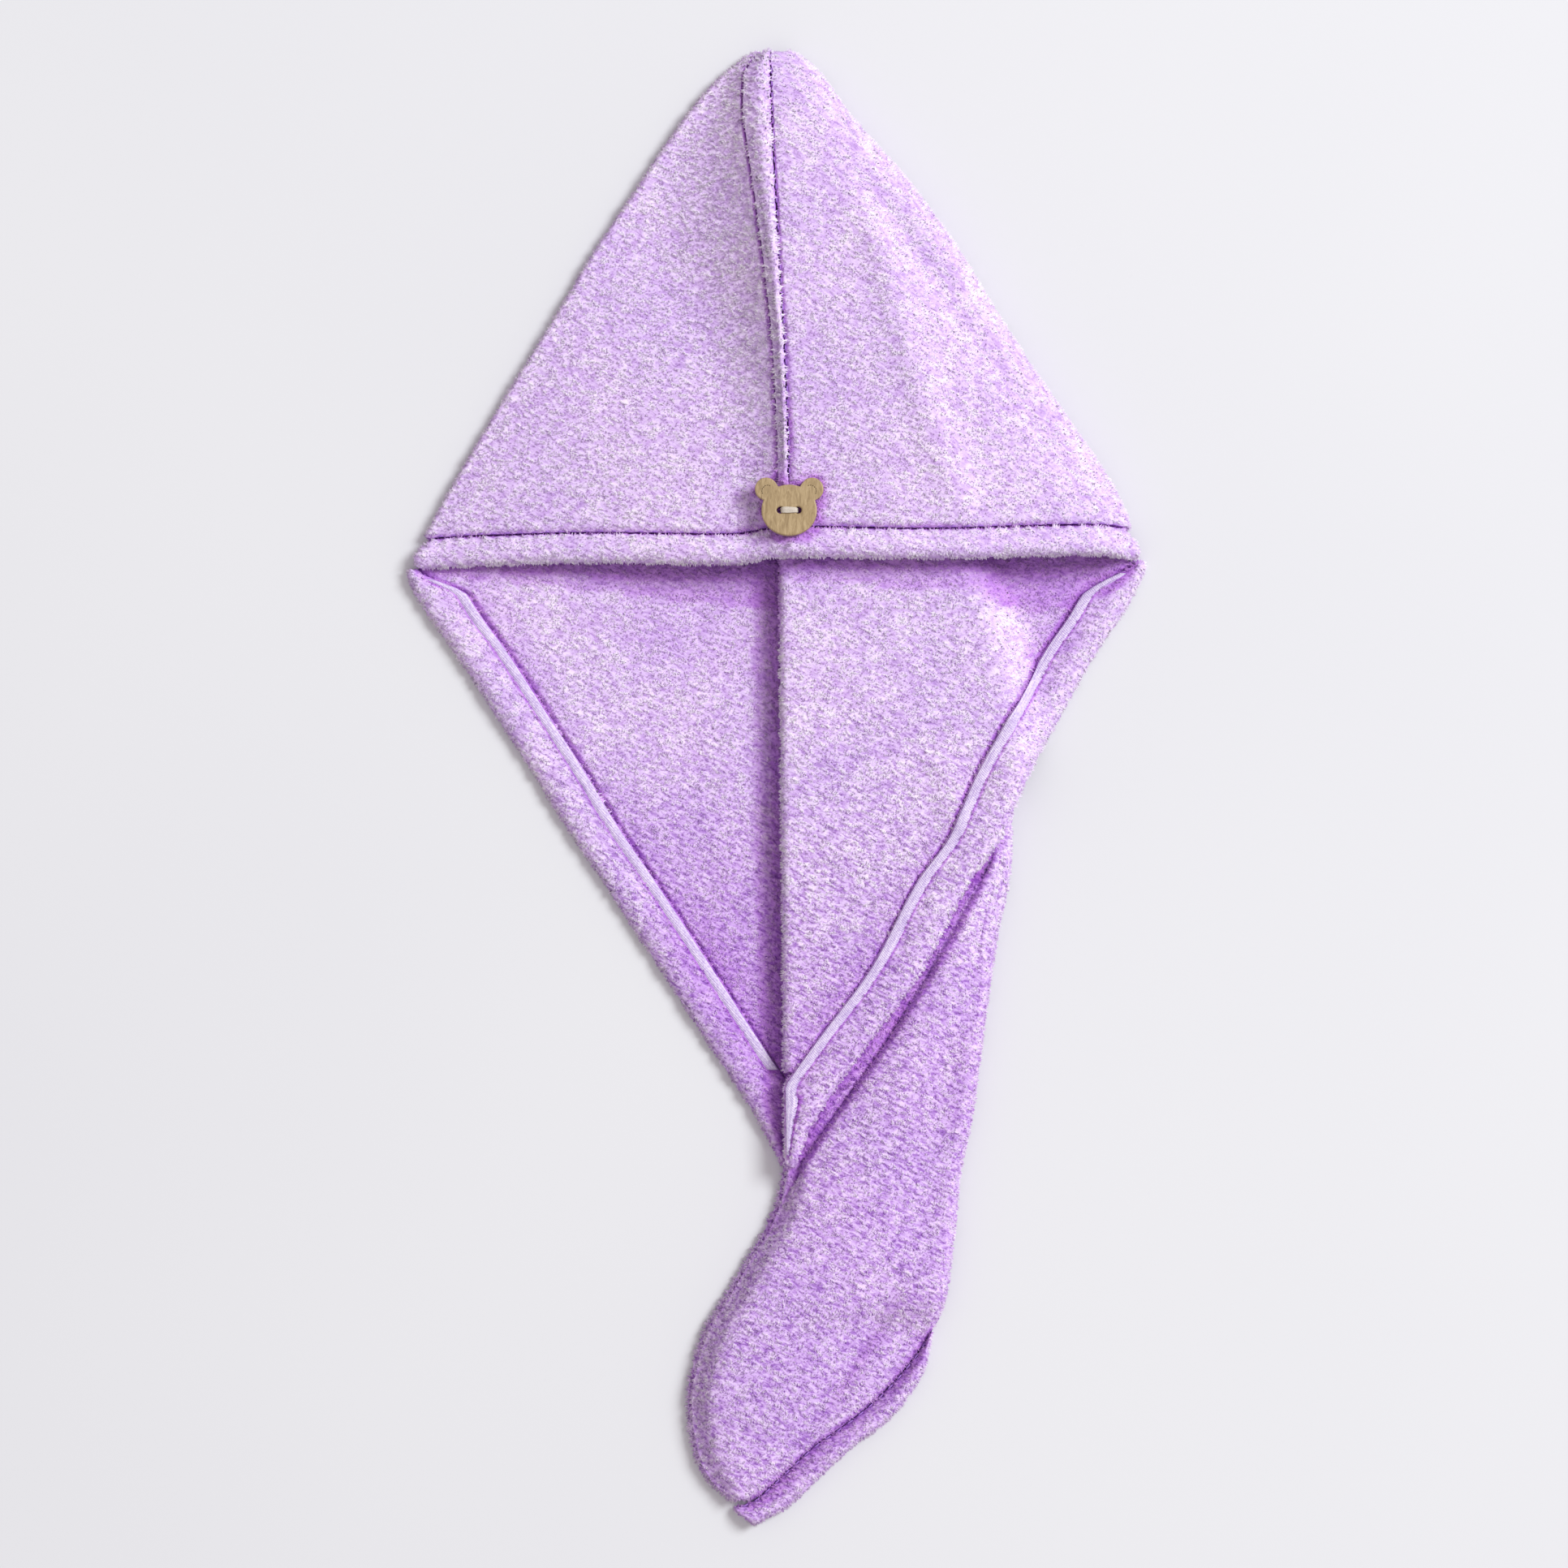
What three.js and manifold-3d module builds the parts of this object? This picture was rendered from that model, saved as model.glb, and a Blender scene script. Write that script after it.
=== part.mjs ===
// A hair turban towel of coral fleece, laid out flat with its mouth upwards: a hood whose front wall
// carries a bear-head button, a V-shaped mouth with taped hems, and a tube of a tail that leaves the hood
// under its right hem. Millimetres, +Z up, +Y towards the peak of the hood, the floor at z = 0.
import * as THREE from "three";
import { mergeVertices } from "three/addons/utils/BufferGeometryUtils.js";
import Module from "manifold-3d";

const wasm = await Module();
wasm.setup();

// Driving sizes of the towel.
const hoodWidth = 276;
const hoodLength = 190; // peak to the lower edge of the front hem
const mouthLength = 224; // lower edge of the front hem to the point of the V
const tailLength = 134; // point of the V to the tip of the tail
const crownHeight = 20.4; // middle of the front wall at its highest
const pleatHeight = 11.8; // middle of the cloth that lies over the pleat
const tailHeight = 12.6; // middle of the tail's upper cloth at its highest
const clothThickness = 2.4;
const pileDepth = 0.8; // the pile that stands out past the cloth
const foldRadius = 2.6; // of the folds along the hood's two sides
const hemWidth = 11;
const hemThickness = 4.8;
const hemRaise = 0.6; // how far the front hem's middle stands above the front wall's
const endHemThickness = 6.4; // of the hem across the tail's end, through both cloths
const tapeWidth = 4.5;
const tapeThickness = 0.8;
const crownSeamWidth = 9.4;
const crownSeamRise = 1;
const crownSeamStep = 1.2; // how far the left front wall ends below the crown, beside the seam
const tailSeamWidth = 2.6;
const tailSeamHeight = 4.2;
const pleatShoulder = 15; // how far the cloth takes to come down beside the pleat
const tailShoulder = 0.7; // height of the upper cloth beside the spine, as a share of the tail's there
const crestWidth = 3; // how far the tail's upper cloth takes to rise beside the right hem
const clearance = 0.3;

// Driving sizes of the button.
const faceWidth = 20.4;
const faceHeight = 18.8;
const earRadius = 4.2;
const earSpread = 8.4;
const earLift = 7.8;
const buttonThickness = 3;
const buttonTilt = 2.5; // degrees, chin up on the hem
const holeRadius = 1.25;
const holeSpread = 3.3;
const threadWidth = 2.8;
const threadThickness = 0.8;
const buttonDown = 0.904; // share of the hood's length

const floorMiddle = clothThickness / 2;
const layerPitch = clothThickness + clearance;
const totalLength = hoodLength + mouthLength + tailLength;
const halfWidth = hoodWidth / 2;
const edgeInset = clothThickness / 2 + pileDepth;

// How the cloth bends, as bare shares.
const bends = {
  domeRoundness: 3.6, // power of the right front wall's curve between its side fold and the crown seam
  planeRoundness: 1.3, // the same for the left one, which lies flatter
  flankHollow: 2, // power of the left one's climb beside the seam
  foldEnds: 4, // a fold fades in and out over one part in this many of its length
  wallEnds: 3, // and from a side fold on over one part in this many of the wall's width
  restEnds: 4, // over one part in this many the wall comes to rest on the pleat
  widestSeam: 0.55, // of the left front wall's width
  rimShare: 0.7, // of a rim's height is turned, and the rest upright
  sharpestBend: 0.25, // of a cloth's width is the most that its turn at the spine takes
  crestLow: 0.86, // height of the tail's cloth at its crest line, as a share of its highest
  crestSwell: 0.56, // and how it swells between there and the spine
  hemEndShare: 0.45, // size of the front hem's section at its two ends
  widestTape: 0.4, // of a mouth hem's width
  widestBrow: 0.4, // of the way from the tail's crest to its spine
  crestSide: 0.6, // cloth thicknesses between the right hem and the tail's crest
  buttonChamfer: 0.18, // of the button's thickness
};

// A station runs from 0 at the peak to 1 at the front hem's lower edge, 2 at the point of the V and 3 at
// the tip of the tail. Every line below is a share of half the hood's width, to the right of its middle.
const outline = [
  { station: 0.0, left: -0.045, right: 0.03 },
  { station: 0.012, left: -0.085, right: 0.065 },
  { station: 0.032, left: -0.121, right: 0.1 },
  { station: 0.064, left: -0.174, right: 0.14 },
  { station: 0.127, left: -0.248, right: 0.2 },
  { station: 0.19, left: -0.31, right: 0.276 },
  { station: 0.253, left: -0.367, right: 0.352 },
  { station: 0.379, left: -0.485, right: 0.48 },
  { station: 0.506, left: -0.59, right: 0.589 },
  { station: 0.632, left: -0.698, right: 0.7 },
  { station: 0.758, left: -0.804, right: 0.815 },
  { station: 0.885, left: -0.909, right: 0.922 },
  { station: 0.948, left: -0.96, right: 0.962 },
  { station: 0.979, left: -0.988, right: 0.987 },
  { station: 1.009, left: -0.998, right: 0.998 },
  { station: 1.036, left: -0.989, right: 0.98 },
  { station: 1.063, left: -0.967, right: 0.956 },
  { station: 1.09, left: -0.939, right: 0.93 },
  { station: 1.143, left: -0.876, right: 0.87 },
  { station: 1.25, left: -0.763, right: 0.771 },
  { station: 1.358, left: -0.65, right: 0.674 },
  { station: 1.41, left: -0.6, right: 0.637 },
  { station: 1.454, left: -0.554, right: 0.606 },
  { station: 1.528, left: -0.472, right: 0.52 },
  { station: 1.667, left: -0.324, right: 0.4 },
  { station: 1.798, left: -0.186, right: 0.243 },
  { station: 1.905, left: -0.072, right: 0.122 },
  { station: 1.95, left: -0.03, right: 0.08 },
  { station: 2.0, left: 0.012, right: 0.052 },
];
// The crown seam, with the flank to its left: how much of the wall's rise the flank climbs, and over how
// much of the wall's width.
const crownSeamLine = [
  { station: 0.0, x: -0.018, width: 0.6, flank: 0.3, reach: 1.0 },
  { station: 0.03, x: -0.017, width: 0.85, flank: 0.6, reach: 1.0 },
  { station: 0.12, x: -0.013, width: 1.0, flank: 0.92, reach: 1.0 },
  { station: 0.2, x: -0.009, width: 0.85, flank: 1.0, reach: 0.96 },
  { station: 0.31, x: -0.001, width: 0.66, flank: 0.97, reach: 0.84 },
  { station: 0.45, x: 0.009, width: 0.43, flank: 0.82, reach: 0.56 },
  { station: 0.6, x: 0.022, width: 0.32, flank: 0.55, reach: 0.32 },
  { station: 0.8, x: 0.031, width: 0.28, flank: 0.28, reach: 0.16 },
  { station: 1.0, x: 0.035, width: 0.26, flank: 0.12, reach: 0.12 },
];
// The pleat: its fold in the middle of the hood, and its spine, which goes on as the tail's right edge.
const pleatLines = [
  { station: 0.0, fold: 0.01, spine: 0.0 },
  { station: 0.2, fold: 0.06, spine: 0.09 },
  { station: 0.4, fold: 0.03, spine: 0.26 },
  { station: 0.51, fold: 0.024, spine: 0.33 },
  { station: 0.7, fold: 0.018, spine: 0.405 },
  { station: 1.0, fold: 0.018, spine: 0.49 },
  { station: 1.084, fold: 0.019, spine: 0.53 },
  { station: 1.183, fold: 0.02, spine: 0.578 },
  { station: 1.257, fold: 0.021, spine: 0.602 },
  { station: 1.344, fold: 0.022, spine: 0.622 },
  { station: 1.424, fold: 0.023, spine: 0.637 },
  { station: 1.491, fold: 0.024, spine: 0.635 },
  { station: 1.6, fold: 0.026, spine: 0.602 },
  { station: 1.705, fold: 0.027, spine: 0.576 },
  { station: 1.812, fold: 0.028, spine: 0.552 },
  { station: 1.92, fold: 0.03, spine: 0.528 },
  { station: 2.0, fold: 0.032, spine: 0.5 },
];
// The tail below the point of the V, without its end hem.
const tailLines = [
  { station: 2.0, left: 0.014, spine: 0.5 },
  { station: 2.09, left: -0.002, spine: 0.49 },
  { station: 2.18, left: -0.037, spine: 0.482 },
  { station: 2.27, left: -0.091, spine: 0.472 },
  { station: 2.36, left: -0.142, spine: 0.459 },
  { station: 2.46, left: -0.199, spine: 0.42 },
  { station: 2.556, left: -0.23, spine: 0.354 },
  { station: 2.639, left: -0.245, spine: 0.278 },
  { station: 2.71, left: -0.242, spine: 0.193 },
  { station: 2.773, left: -0.232, spine: 0.107 },
  { station: 2.83, left: -0.217, spine: 0.046 },
  { station: 2.883, left: -0.181, spine: -0.009 },
  { station: 2.92, left: -0.142, spine: -0.051 },
  { station: 2.944, left: -0.114, spine: -0.08 },
];
// The outer edge of the tail's end hem, from the spine to the tip.
const endHemLine = [
  { x: 0.421, station: 2.46 },
  { x: 0.409, station: 2.538 },
  { x: 0.366, station: 2.628 },
  { x: 0.289, station: 2.717 },
  { x: 0.226, station: 2.762 },
  { x: 0.13, station: 2.851 },
  { x: 0.037, station: 2.941 },
  { x: -0.05, station: 2.992 },
];
// Heights, as shares of the height that each column is named after, and where the tail's crest runs.
const heights = [
  { station: 0.0, crown: 0.26, pleat: 0.35, tail: 0.5 },
  { station: 0.03, crown: 0.42, pleat: 0.35, tail: 0.5 },
  { station: 0.1, crown: 0.62, pleat: 0.4, tail: 0.5 },
  { station: 0.25, crown: 0.85, pleat: 0.58, tail: 0.5 },
  { station: 0.5, crown: 0.97, pleat: 0.76, tail: 0.6 },
  { station: 0.8, crown: 1.0, pleat: 0.95, tail: 0.7 },
  { station: 1.0, crown: 1.0, pleat: 1.0, tail: 0.7 },
  { station: 1.4, crown: 1.0, pleat: 1.0, tail: 0.74 },
  { station: 1.55, crown: 1.0, pleat: 0.98, tail: 0.86 },
  { station: 1.8, crown: 1.0, pleat: 0.92, tail: 0.97 },
  { station: 2.0, crown: 1.0, pleat: 0.72, tail: 0.9 },
  { station: 2.3, crown: 1.0, pleat: 0.7, tail: 1.0 },
  { station: 2.6, crown: 1.0, pleat: 0.7, tail: 0.92 },
  { station: 2.8, crown: 1.0, pleat: 0.7, tail: 0.7 },
  { station: 2.935, crown: 1.0, pleat: 0.7, tail: 0.46 },
];
const crestLine = [
  { station: 1.38, x: 0.62 },
  { station: 1.462, x: 0.6 },
  { station: 1.569, x: 0.507 },
  { station: 1.683, x: 0.406 },
  { station: 1.79, x: 0.3 },
  { station: 1.872, x: 0.208 },
  { station: 1.953, x: 0.116 },
  { station: 2.0, x: 0.066 },
];
// How far the front hem's edge hangs below its station, as shares of the hem's width, across the hood.
const frontEdge = [
  { x: -1.0, drop: 0.18 },
  { x: -0.8, drop: 0.05 },
  { x: -0.5, drop: -0.02 },
  { x: -0.12, drop: 0.05 },
  { x: 0.02, drop: -0.18 },
  { x: 0.4, drop: -0.11 },
  { x: 0.85, drop: -0.26 },
  { x: 1.0, drop: -0.1 },
];

// Soft folds and hollows: from one point to another, with the rise in cloth thicknesses and the width as a
// share of the hood's.
const reliefs = [
  { sheet: "front", station: 0.2, x: 0.2, toStation: 1.04, toX: 0.54, rise: 0.7, width: 0.026 },
  { sheet: "front", station: 0.4, x: 0.26, toStation: 1.04, toX: 0.34, rise: 0.7, width: 0.08 },
  { sheet: "front", station: 0.18, x: 0.17, toStation: 0.97, toX: 0.93, rise: -1.1, width: 0.026 },
  { sheet: "tail", station: 2.24, x: 0.38, toStation: 2.9, toX: -0.02, rise: -0.8, width: 0.022 },
  { sheet: "tail", station: 1.7, x: 0.5, toStation: 2.3, toX: 0.4, rise: -0.5, width: 0.03 },
  { sheet: "back", station: 1.3, x: 0.44, toStation: 1.46, toX: 0.5, rise: 0.35, width: 0.02 },
];

const clamp01 = (value) => Math.min(1, Math.max(0, value));
const mix = (a, b, share) => a + (b - a) * share;
const ease = (value) => clamp01(value) ** 2 * (3 - 2 * clamp01(value));
const range = (count) => Array.from({ length: count }, (_, i) => i);

// A smooth curve through one column of a table, with no overshoot between its rows.
function column(rows, key, name) {
  const at = rows.map((row) => row[key]);
  const value = rows.map((row) => row[name]);
  const last = rows.length - 1;
  const slope = range(last).map((i) => (value[i + 1] - value[i]) / (at[i + 1] - at[i]));
  const tangent = at.map((_, i) => {
    if (i === 0 || i === last) return slope[Math.min(i, last - 1)];
    if (slope[i - 1] * slope[i] <= 0) return 0;
    return (2 * slope[i - 1] * slope[i]) / (slope[i - 1] + slope[i]);
  });
  return (where) => {
    const inside = Math.min(at[last], Math.max(at[0], where));
    const i = Math.max(0, Math.min(last - 1, at.findIndex((edge) => edge > inside) - 1));
    const k = at[last] <= inside ? last - 1 : i;
    const span = at[k + 1] - at[k];
    const t = (inside - at[k]) / span;
    return (
      value[k] * (2 * t ** 3 - 3 * t ** 2 + 1) +
      tangent[k] * span * (t ** 3 - 2 * t ** 2 + t) +
      value[k + 1] * (3 * t ** 2 - 2 * t ** 3) +
      tangent[k + 1] * span * (t ** 3 - t ** 2)
    );
  };
}
const scaled = (curve, size) => (where) => curve(where) * size;
const lineOf = (rows, name) => scaled(column(rows, "station", name), halfWidth);

const outerLeft = lineOf(outline, "left");
const outerRight = lineOf(outline, "right");
const crownSeam = lineOf(crownSeamLine, "x");
const crownSeamFull = scaled(column(crownSeamLine, "station", "width"), crownSeamWidth);
const flankShare = column(crownSeamLine, "station", "flank");
const flankReach = column(crownSeamLine, "station", "reach");
const pleatFold = lineOf(pleatLines, "fold");
const pleatSpine = lineOf(pleatLines, "spine");
const tailLeft = lineOf(tailLines, "left");
const tailSpine = lineOf(tailLines, "spine");
const crest = lineOf(crestLine, "x");
const crownTop = scaled(column(heights, "station", "crown"), crownHeight);
const pleatTop = scaled(column(heights, "station", "pleat"), pleatHeight);
const tailTop = scaled(column(heights, "station", "tail"), tailHeight);
const edgeDrop = scaled(column(frontEdge, "x", "drop"), hemWidth);

// Stations of places along the towel.
const places = {
  firstRowShare: 0.006,
  pleatStartShare: 0.3,
  dropStartShare: 0.6, // the front wall's rows follow its hanging edge from here on
  cornerEndShare: 1.055, // the mouth's hems reach their full width here
  tailRiseShare: 1.4, // the cloth over the pleat rises into the tail from here on
  topEndShare: 1.84, // the cloth over the pleat ends here, and the right hem goes on alone
  vPointShare: 2,
};
const pleatLiftShare = 0.12; // the cloth begins to lift for the pleat this far before it starts
const seamSinkingShare = 0.05; // the crown seam's ridge sinks over this far above the button
const endClosingShare = 0.1; // the tail comes down to its end hem over this far
const endCornerShare = 0.04; // the end hem's inner corner lies this far before its tip
const spineRiseShare = 0.4; // and its spine takes this far to rise
const crestRiseShare = 0.14; // and its crest this far, here and again past the point of the V
const tailSettleShare = 0.08; // the tail's upper cloth comes down to its seam over this far

function relief(sheet, station, x) {
  return reliefs
    .filter((row) => row.sheet === sheet)
    .reduce((sum, row) => {
      const along = (station - row.station) / (row.toStation - row.station);
      const away = (x - mix(row.x, row.toX, along) * halfWidth) / (row.width * hoodWidth);
      const fade = ease(along * bends.foldEnds) * ease((1 - along) * bends.foldEnds);
      return sum + row.rise * clothThickness * fade * Math.exp(-(away ** 2));
    }, 0);
}

// Distance down from the peak to a station, and the row frame's y there.
function down(station) {
  const hood = Math.min(station, 1) * hoodLength;
  const mouth = clamp01(station - 1) * mouthLength;
  const tail = clamp01(station - 2) * tailLength;
  return hood + mouth + tail;
}
const yAt = (station) => totalLength / 2 - down(station);
const stitchStation = 1 - hemWidth / hoodLength;

const spine = (station) =>
  (station < places.vPointShare ? pleatSpine(station) : tailSpine(station)) - edgeInset;
const edge = (side, station) =>
  side < 0 ? outerLeft(station) + edgeInset : outerRight(station) - edgeInset;

const crownSeamSpan = (station) =>
  Math.min(crownSeamFull(station), (crownSeam(station) - edge(-1, station)) * bends.widestSeam);

// Where a mouth hem ends and the open cloth begins.
const hemSlope = Math.atan2(mouthLength, halfWidth);
function hemInner(side, station) {
  const grown = ease((station - 1) / (places.cornerEndShare - 1));
  const run = ((hemWidth + tapeWidth) / Math.sin(hemSlope)) * grown;
  const plain = edge(side, station) - side * (run + clearance + edgeInset * (1 - grown));
  const limit = pleatFold(station) + layerPitch / 2;
  return side < 0 ? Math.min(plain, limit) : Math.max(plain, limit - layerPitch);
}

// Height of the middle of the cloth that lies on the floor or over the pleat.
function backHeight(station, x) {
  const lift = ease((station - places.pleatStartShare + pleatLiftShare) / pleatLiftShare);
  const top = Math.max(pleatTop(station), floorMiddle + 2 * layerPitch);
  const over = 1 - ease((x - spine(station) - 2 * clothThickness) / pleatShoulder);
  const fold = relief("back", station, x);
  return mix(floorMiddle, top + fold, lift * over);
}
// How far the rim of a cloth that slopes leans over what lies beside it.
const leanOf = (slope) => (Math.abs(slope) / Math.hypot(1, slope)) * (clothThickness / 2);
function rimLean(side, station) {
  const x = hemInner(side, station);
  return leanOf(backHeight(station, x + 0.5) - backHeight(station, x - 0.5));
}
const hemInnerEdge = (side, station) =>
  hemInner(side, station) + side * (clearance + (side > 0 ? rimLean(side, station) : 0));
// Height of the middle of the pleat's lower cloth.
const underHeight = (station) =>
  Math.max(pleatTop(station), floorMiddle + 2 * layerPitch) - layerPitch;

const sideRadius = (station) =>
  Math.min(foldRadius, (crownTop(station) - floorMiddle) / 2);

// Height of the middle of the front wall: a slack plane and a hollow flank to the left of the crown seam,
// a dome to its right.
function frontHeight(station, x) {
  const seam = crownSeam(station);
  const side = x < seam ? -1 : 1;
  const fold = edge(side, station);
  const end = side < 0 ? seam - crownSeamSpan(station) : seam;
  const share = clamp01((x - fold) / (end - fold));
  const low = floorMiddle + sideRadius(station);
  const folds = relief("front", station, x) * clamp01(share * bends.wallEnds);
  if (side < 0) {
    const plane = 1 - (1 - share) ** bends.planeRoundness;
    const climb = clamp01((share - 1) / flankReach(station) + 1) ** bends.flankHollow;
    return mix(low, crownTop(station) - crownSeamStep, mix(plane, climb, flankShare(station))) + folds;
  }
  const dome = (1 - (1 - share) ** bends.domeRoundness) ** (1 / bends.domeRoundness);
  const plain = mix(low, crownTop(station), dome) + folds;
  const resting = backHeight(station, x) + layerPitch + clearance;
  const reach = clamp01(share * bends.restEnds);
  return mix(plain, Math.max(plain, resting), reach);
}

// Points of a quarter of an ellipse from one end to the other, where the first leaves along x.
function quarter(from, to, count) {
  return range(count).map((i) => {
    const angle = ((i + 1) / count) * (Math.PI / 2);
    return {
      x: mix(from.x, to.x, Math.sin(angle)),
      z: mix(from.z, to.z, 1 - Math.cos(angle)),
    };
  });
}
// The same, and then straight on upwards or downwards for a last short way.
function quarterAndRim(from, to, count) {
  const rim = { x: to.x, z: mix(from.z, to.z, bends.rimShare) };
  return [...quarter(from, rim, count - 1), to];
}

const frontColumns = 12;
const foldColumns = 3;
const floorColumns = 3;
const overColumns = 12;
const turnColumns = 4;
const arcColumns = 4;
const underColumns = 3;
const crestColumns = 3;
const humpColumns = 5;

// Where the front wall of one side ends beside the crown seam.
function frontStart(side, station) {
  const seam = crownSeam(station);
  if (side > 0) return seam + clearance;
  const end = seam - crownSeamSpan(station);
  const slope = frontHeight(station, end) - frontHeight(station, end - 1);
  return end - 2 * clearance - leanOf(slope);
}
// The front wall of one side, from the crown seam to its side fold, and the fold's outer quarter.
function frontPath(side, station) {
  const start = frontStart(side, station);
  const fold = edge(side, station);
  return range(frontColumns + 1).map((i) => {
    const x = mix(start, fold, Math.sin(((i / frontColumns) * Math.PI) / 2));
    return { x, z: frontHeight(station, x) };
  });
}
function foldPath(side, station) {
  const radius = sideRadius(station);
  const fold = edge(side, station);
  const from = { x: fold - side * radius, z: floorMiddle };
  const to = { x: fold, z: floorMiddle + radius };
  return quarter(from, to, foldColumns).reverse().slice(1).concat(from);
}
// The floor cloth's outer end, at the side fold, the mouth hem or the tail's seam.
function floorStart(side, station) {
  if (station <= stitchStation) return edge(side, station) - side * sideRadius(station);
  if (station >= places.vPointShare) return tailLeft(station) + edgeInset + tailSeamWidth;
  return hemInner(side, station);
}
// The left panel's cloth on the floor, which turns up at the spine.
function floorPath(station) {
  const rise = (spineHeight(station) - floorMiddle) / 2;
  const from = floorStart(-1, station);
  const bend = Math.min(rise, (spine(station) - from) * bends.sharpestBend);
  const flatEnd = { x: spine(station) - bend, z: floorMiddle };
  const tip = { x: spine(station), z: floorMiddle + rise - clearance / 2 };
  const flat = range(floorColumns + 1).map((i) => ({
    x: mix(from, flatEnd.x, i / floorColumns),
    z: floorMiddle,
  }));
  return [...flat, ...quarterAndRim(flatEnd, tip, arcColumns)];
}
// Height of the upper cloth where it turns down at the spine: it rises into the tail, and comes down again
// to meet the lower cloth at the end hem's stitches.
function spineHeight(station) {
  const risen = ease((station - places.tailRiseShare) / spineRiseShare);
  const inTail = mix(underHeight(station), tailTop(station) * tailShoulder, risen);
  const closed = ease((station - endHemLine[0].station + endClosingShare) / endClosingShare);
  return mix(inTail, floorMiddle + layerPitch, closed);
}

// The right panel's upper cloth between its fold or the tail's seam and the spine.
function underPath(station) {
  const inTail = station >= places.vPointShare;
  const settled = ease((station - places.vPointShare) / tailSettleShare);
  const level = inTail
    ? mix(underHeight(places.vPointShare), floorMiddle + layerPitch, settled)
    : underHeight(station);
  const start = inTail
    ? tailLeft(station) + edgeInset + tailSeamWidth
    : pleatFold(station) + layerPitch / 2;
  const rise = (spineHeight(station) - floorMiddle) / 2;
  const bend = Math.min(rise, (spine(station) - start) * bends.sharpestBend);
  const arcFrom = { x: spine(station) - bend, z: floorMiddle + 2 * rise };
  const arcTo = { x: spine(station), z: floorMiddle + rise + clearance / 2 };
  const lifted = ease((station - places.tailRiseShare) / crestRiseShare);
  const freed = ease((station - places.vPointShare) / crestRiseShare);
  const besideHem = outerRight(Math.min(station, places.vPointShare)) + bends.crestSide * clothThickness;
  const shownCrest = Math.max(crest(station), besideHem);
  const foot = mix(Math.min(shownCrest, arcFrom.x - crestWidth / 2), start + crestWidth / 2, freed);
  const brow = Math.min(foot + mix(1, 2, freed) * crestWidth, mix(foot, arcFrom.x, bends.widestBrow));
  const hump = (x) => {
    const share = clamp01((x - foot) / (arcFrom.x - foot));
    const crown = tailTop(station) * (bends.crestLow + bends.crestSwell * share * (1 - share));
    const folds = relief("tail", station, x) * clamp01(4 * share) * clamp01(4 - 4 * share);
    const body = mix(crown, arcFrom.z, share ** 2) + folds;
    const riseStart = mix(foot, start, freed);
    const riseWidth = (brow - foot) * mix(1, 1.5, freed);
    return mix(level, Math.max(level, body), ease((x - riseStart) / riseWidth) * lifted);
  };
  const xs = [
    ...range(underColumns).map((i) => mix(start, foot, i / underColumns)),
    ...range(crestColumns).map((i) => mix(foot, brow, i / crestColumns)),
    ...range(humpColumns).map((i) => mix(brow, arcFrom.x, i / humpColumns)),
  ];
  return [
    ...xs.map((x) => ({ x, z: hump(x) })),
    arcFrom,
    ...quarterAndRim(arcFrom, arcTo, arcColumns),
  ];
}
// The right panel's cloth from its outer end over the pleat to the pleat's fold.
function overPath(station) {
  const from = floorStart(1, station);
  const started = station >= places.pleatStartShare;
  const unpleated = spine(station) + 2 * clearance + clothThickness;
  const to = started ? pleatFold(station) + layerPitch / 2 : unpleated;
  return range(overColumns + 1).map((i) => {
    const x = mix(from, to, i / overColumns);
    return { x, z: backHeight(station, x) };
  });
}
// The half turn at the pleat's fold, from the cloth over the pleat to the cloth under it.
function turnPath(station) {
  const radius = layerPitch / 2;
  const centre = { x: pleatFold(station) + radius, z: underHeight(station) + radius };
  return range(turnColumns - 1).map((i) => {
    const angle = ((i + 1) / turnColumns) * Math.PI;
    return {
      x: centre.x - radius * Math.sin(angle),
      z: centre.z + radius * Math.cos(angle),
    };
  });
}

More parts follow.
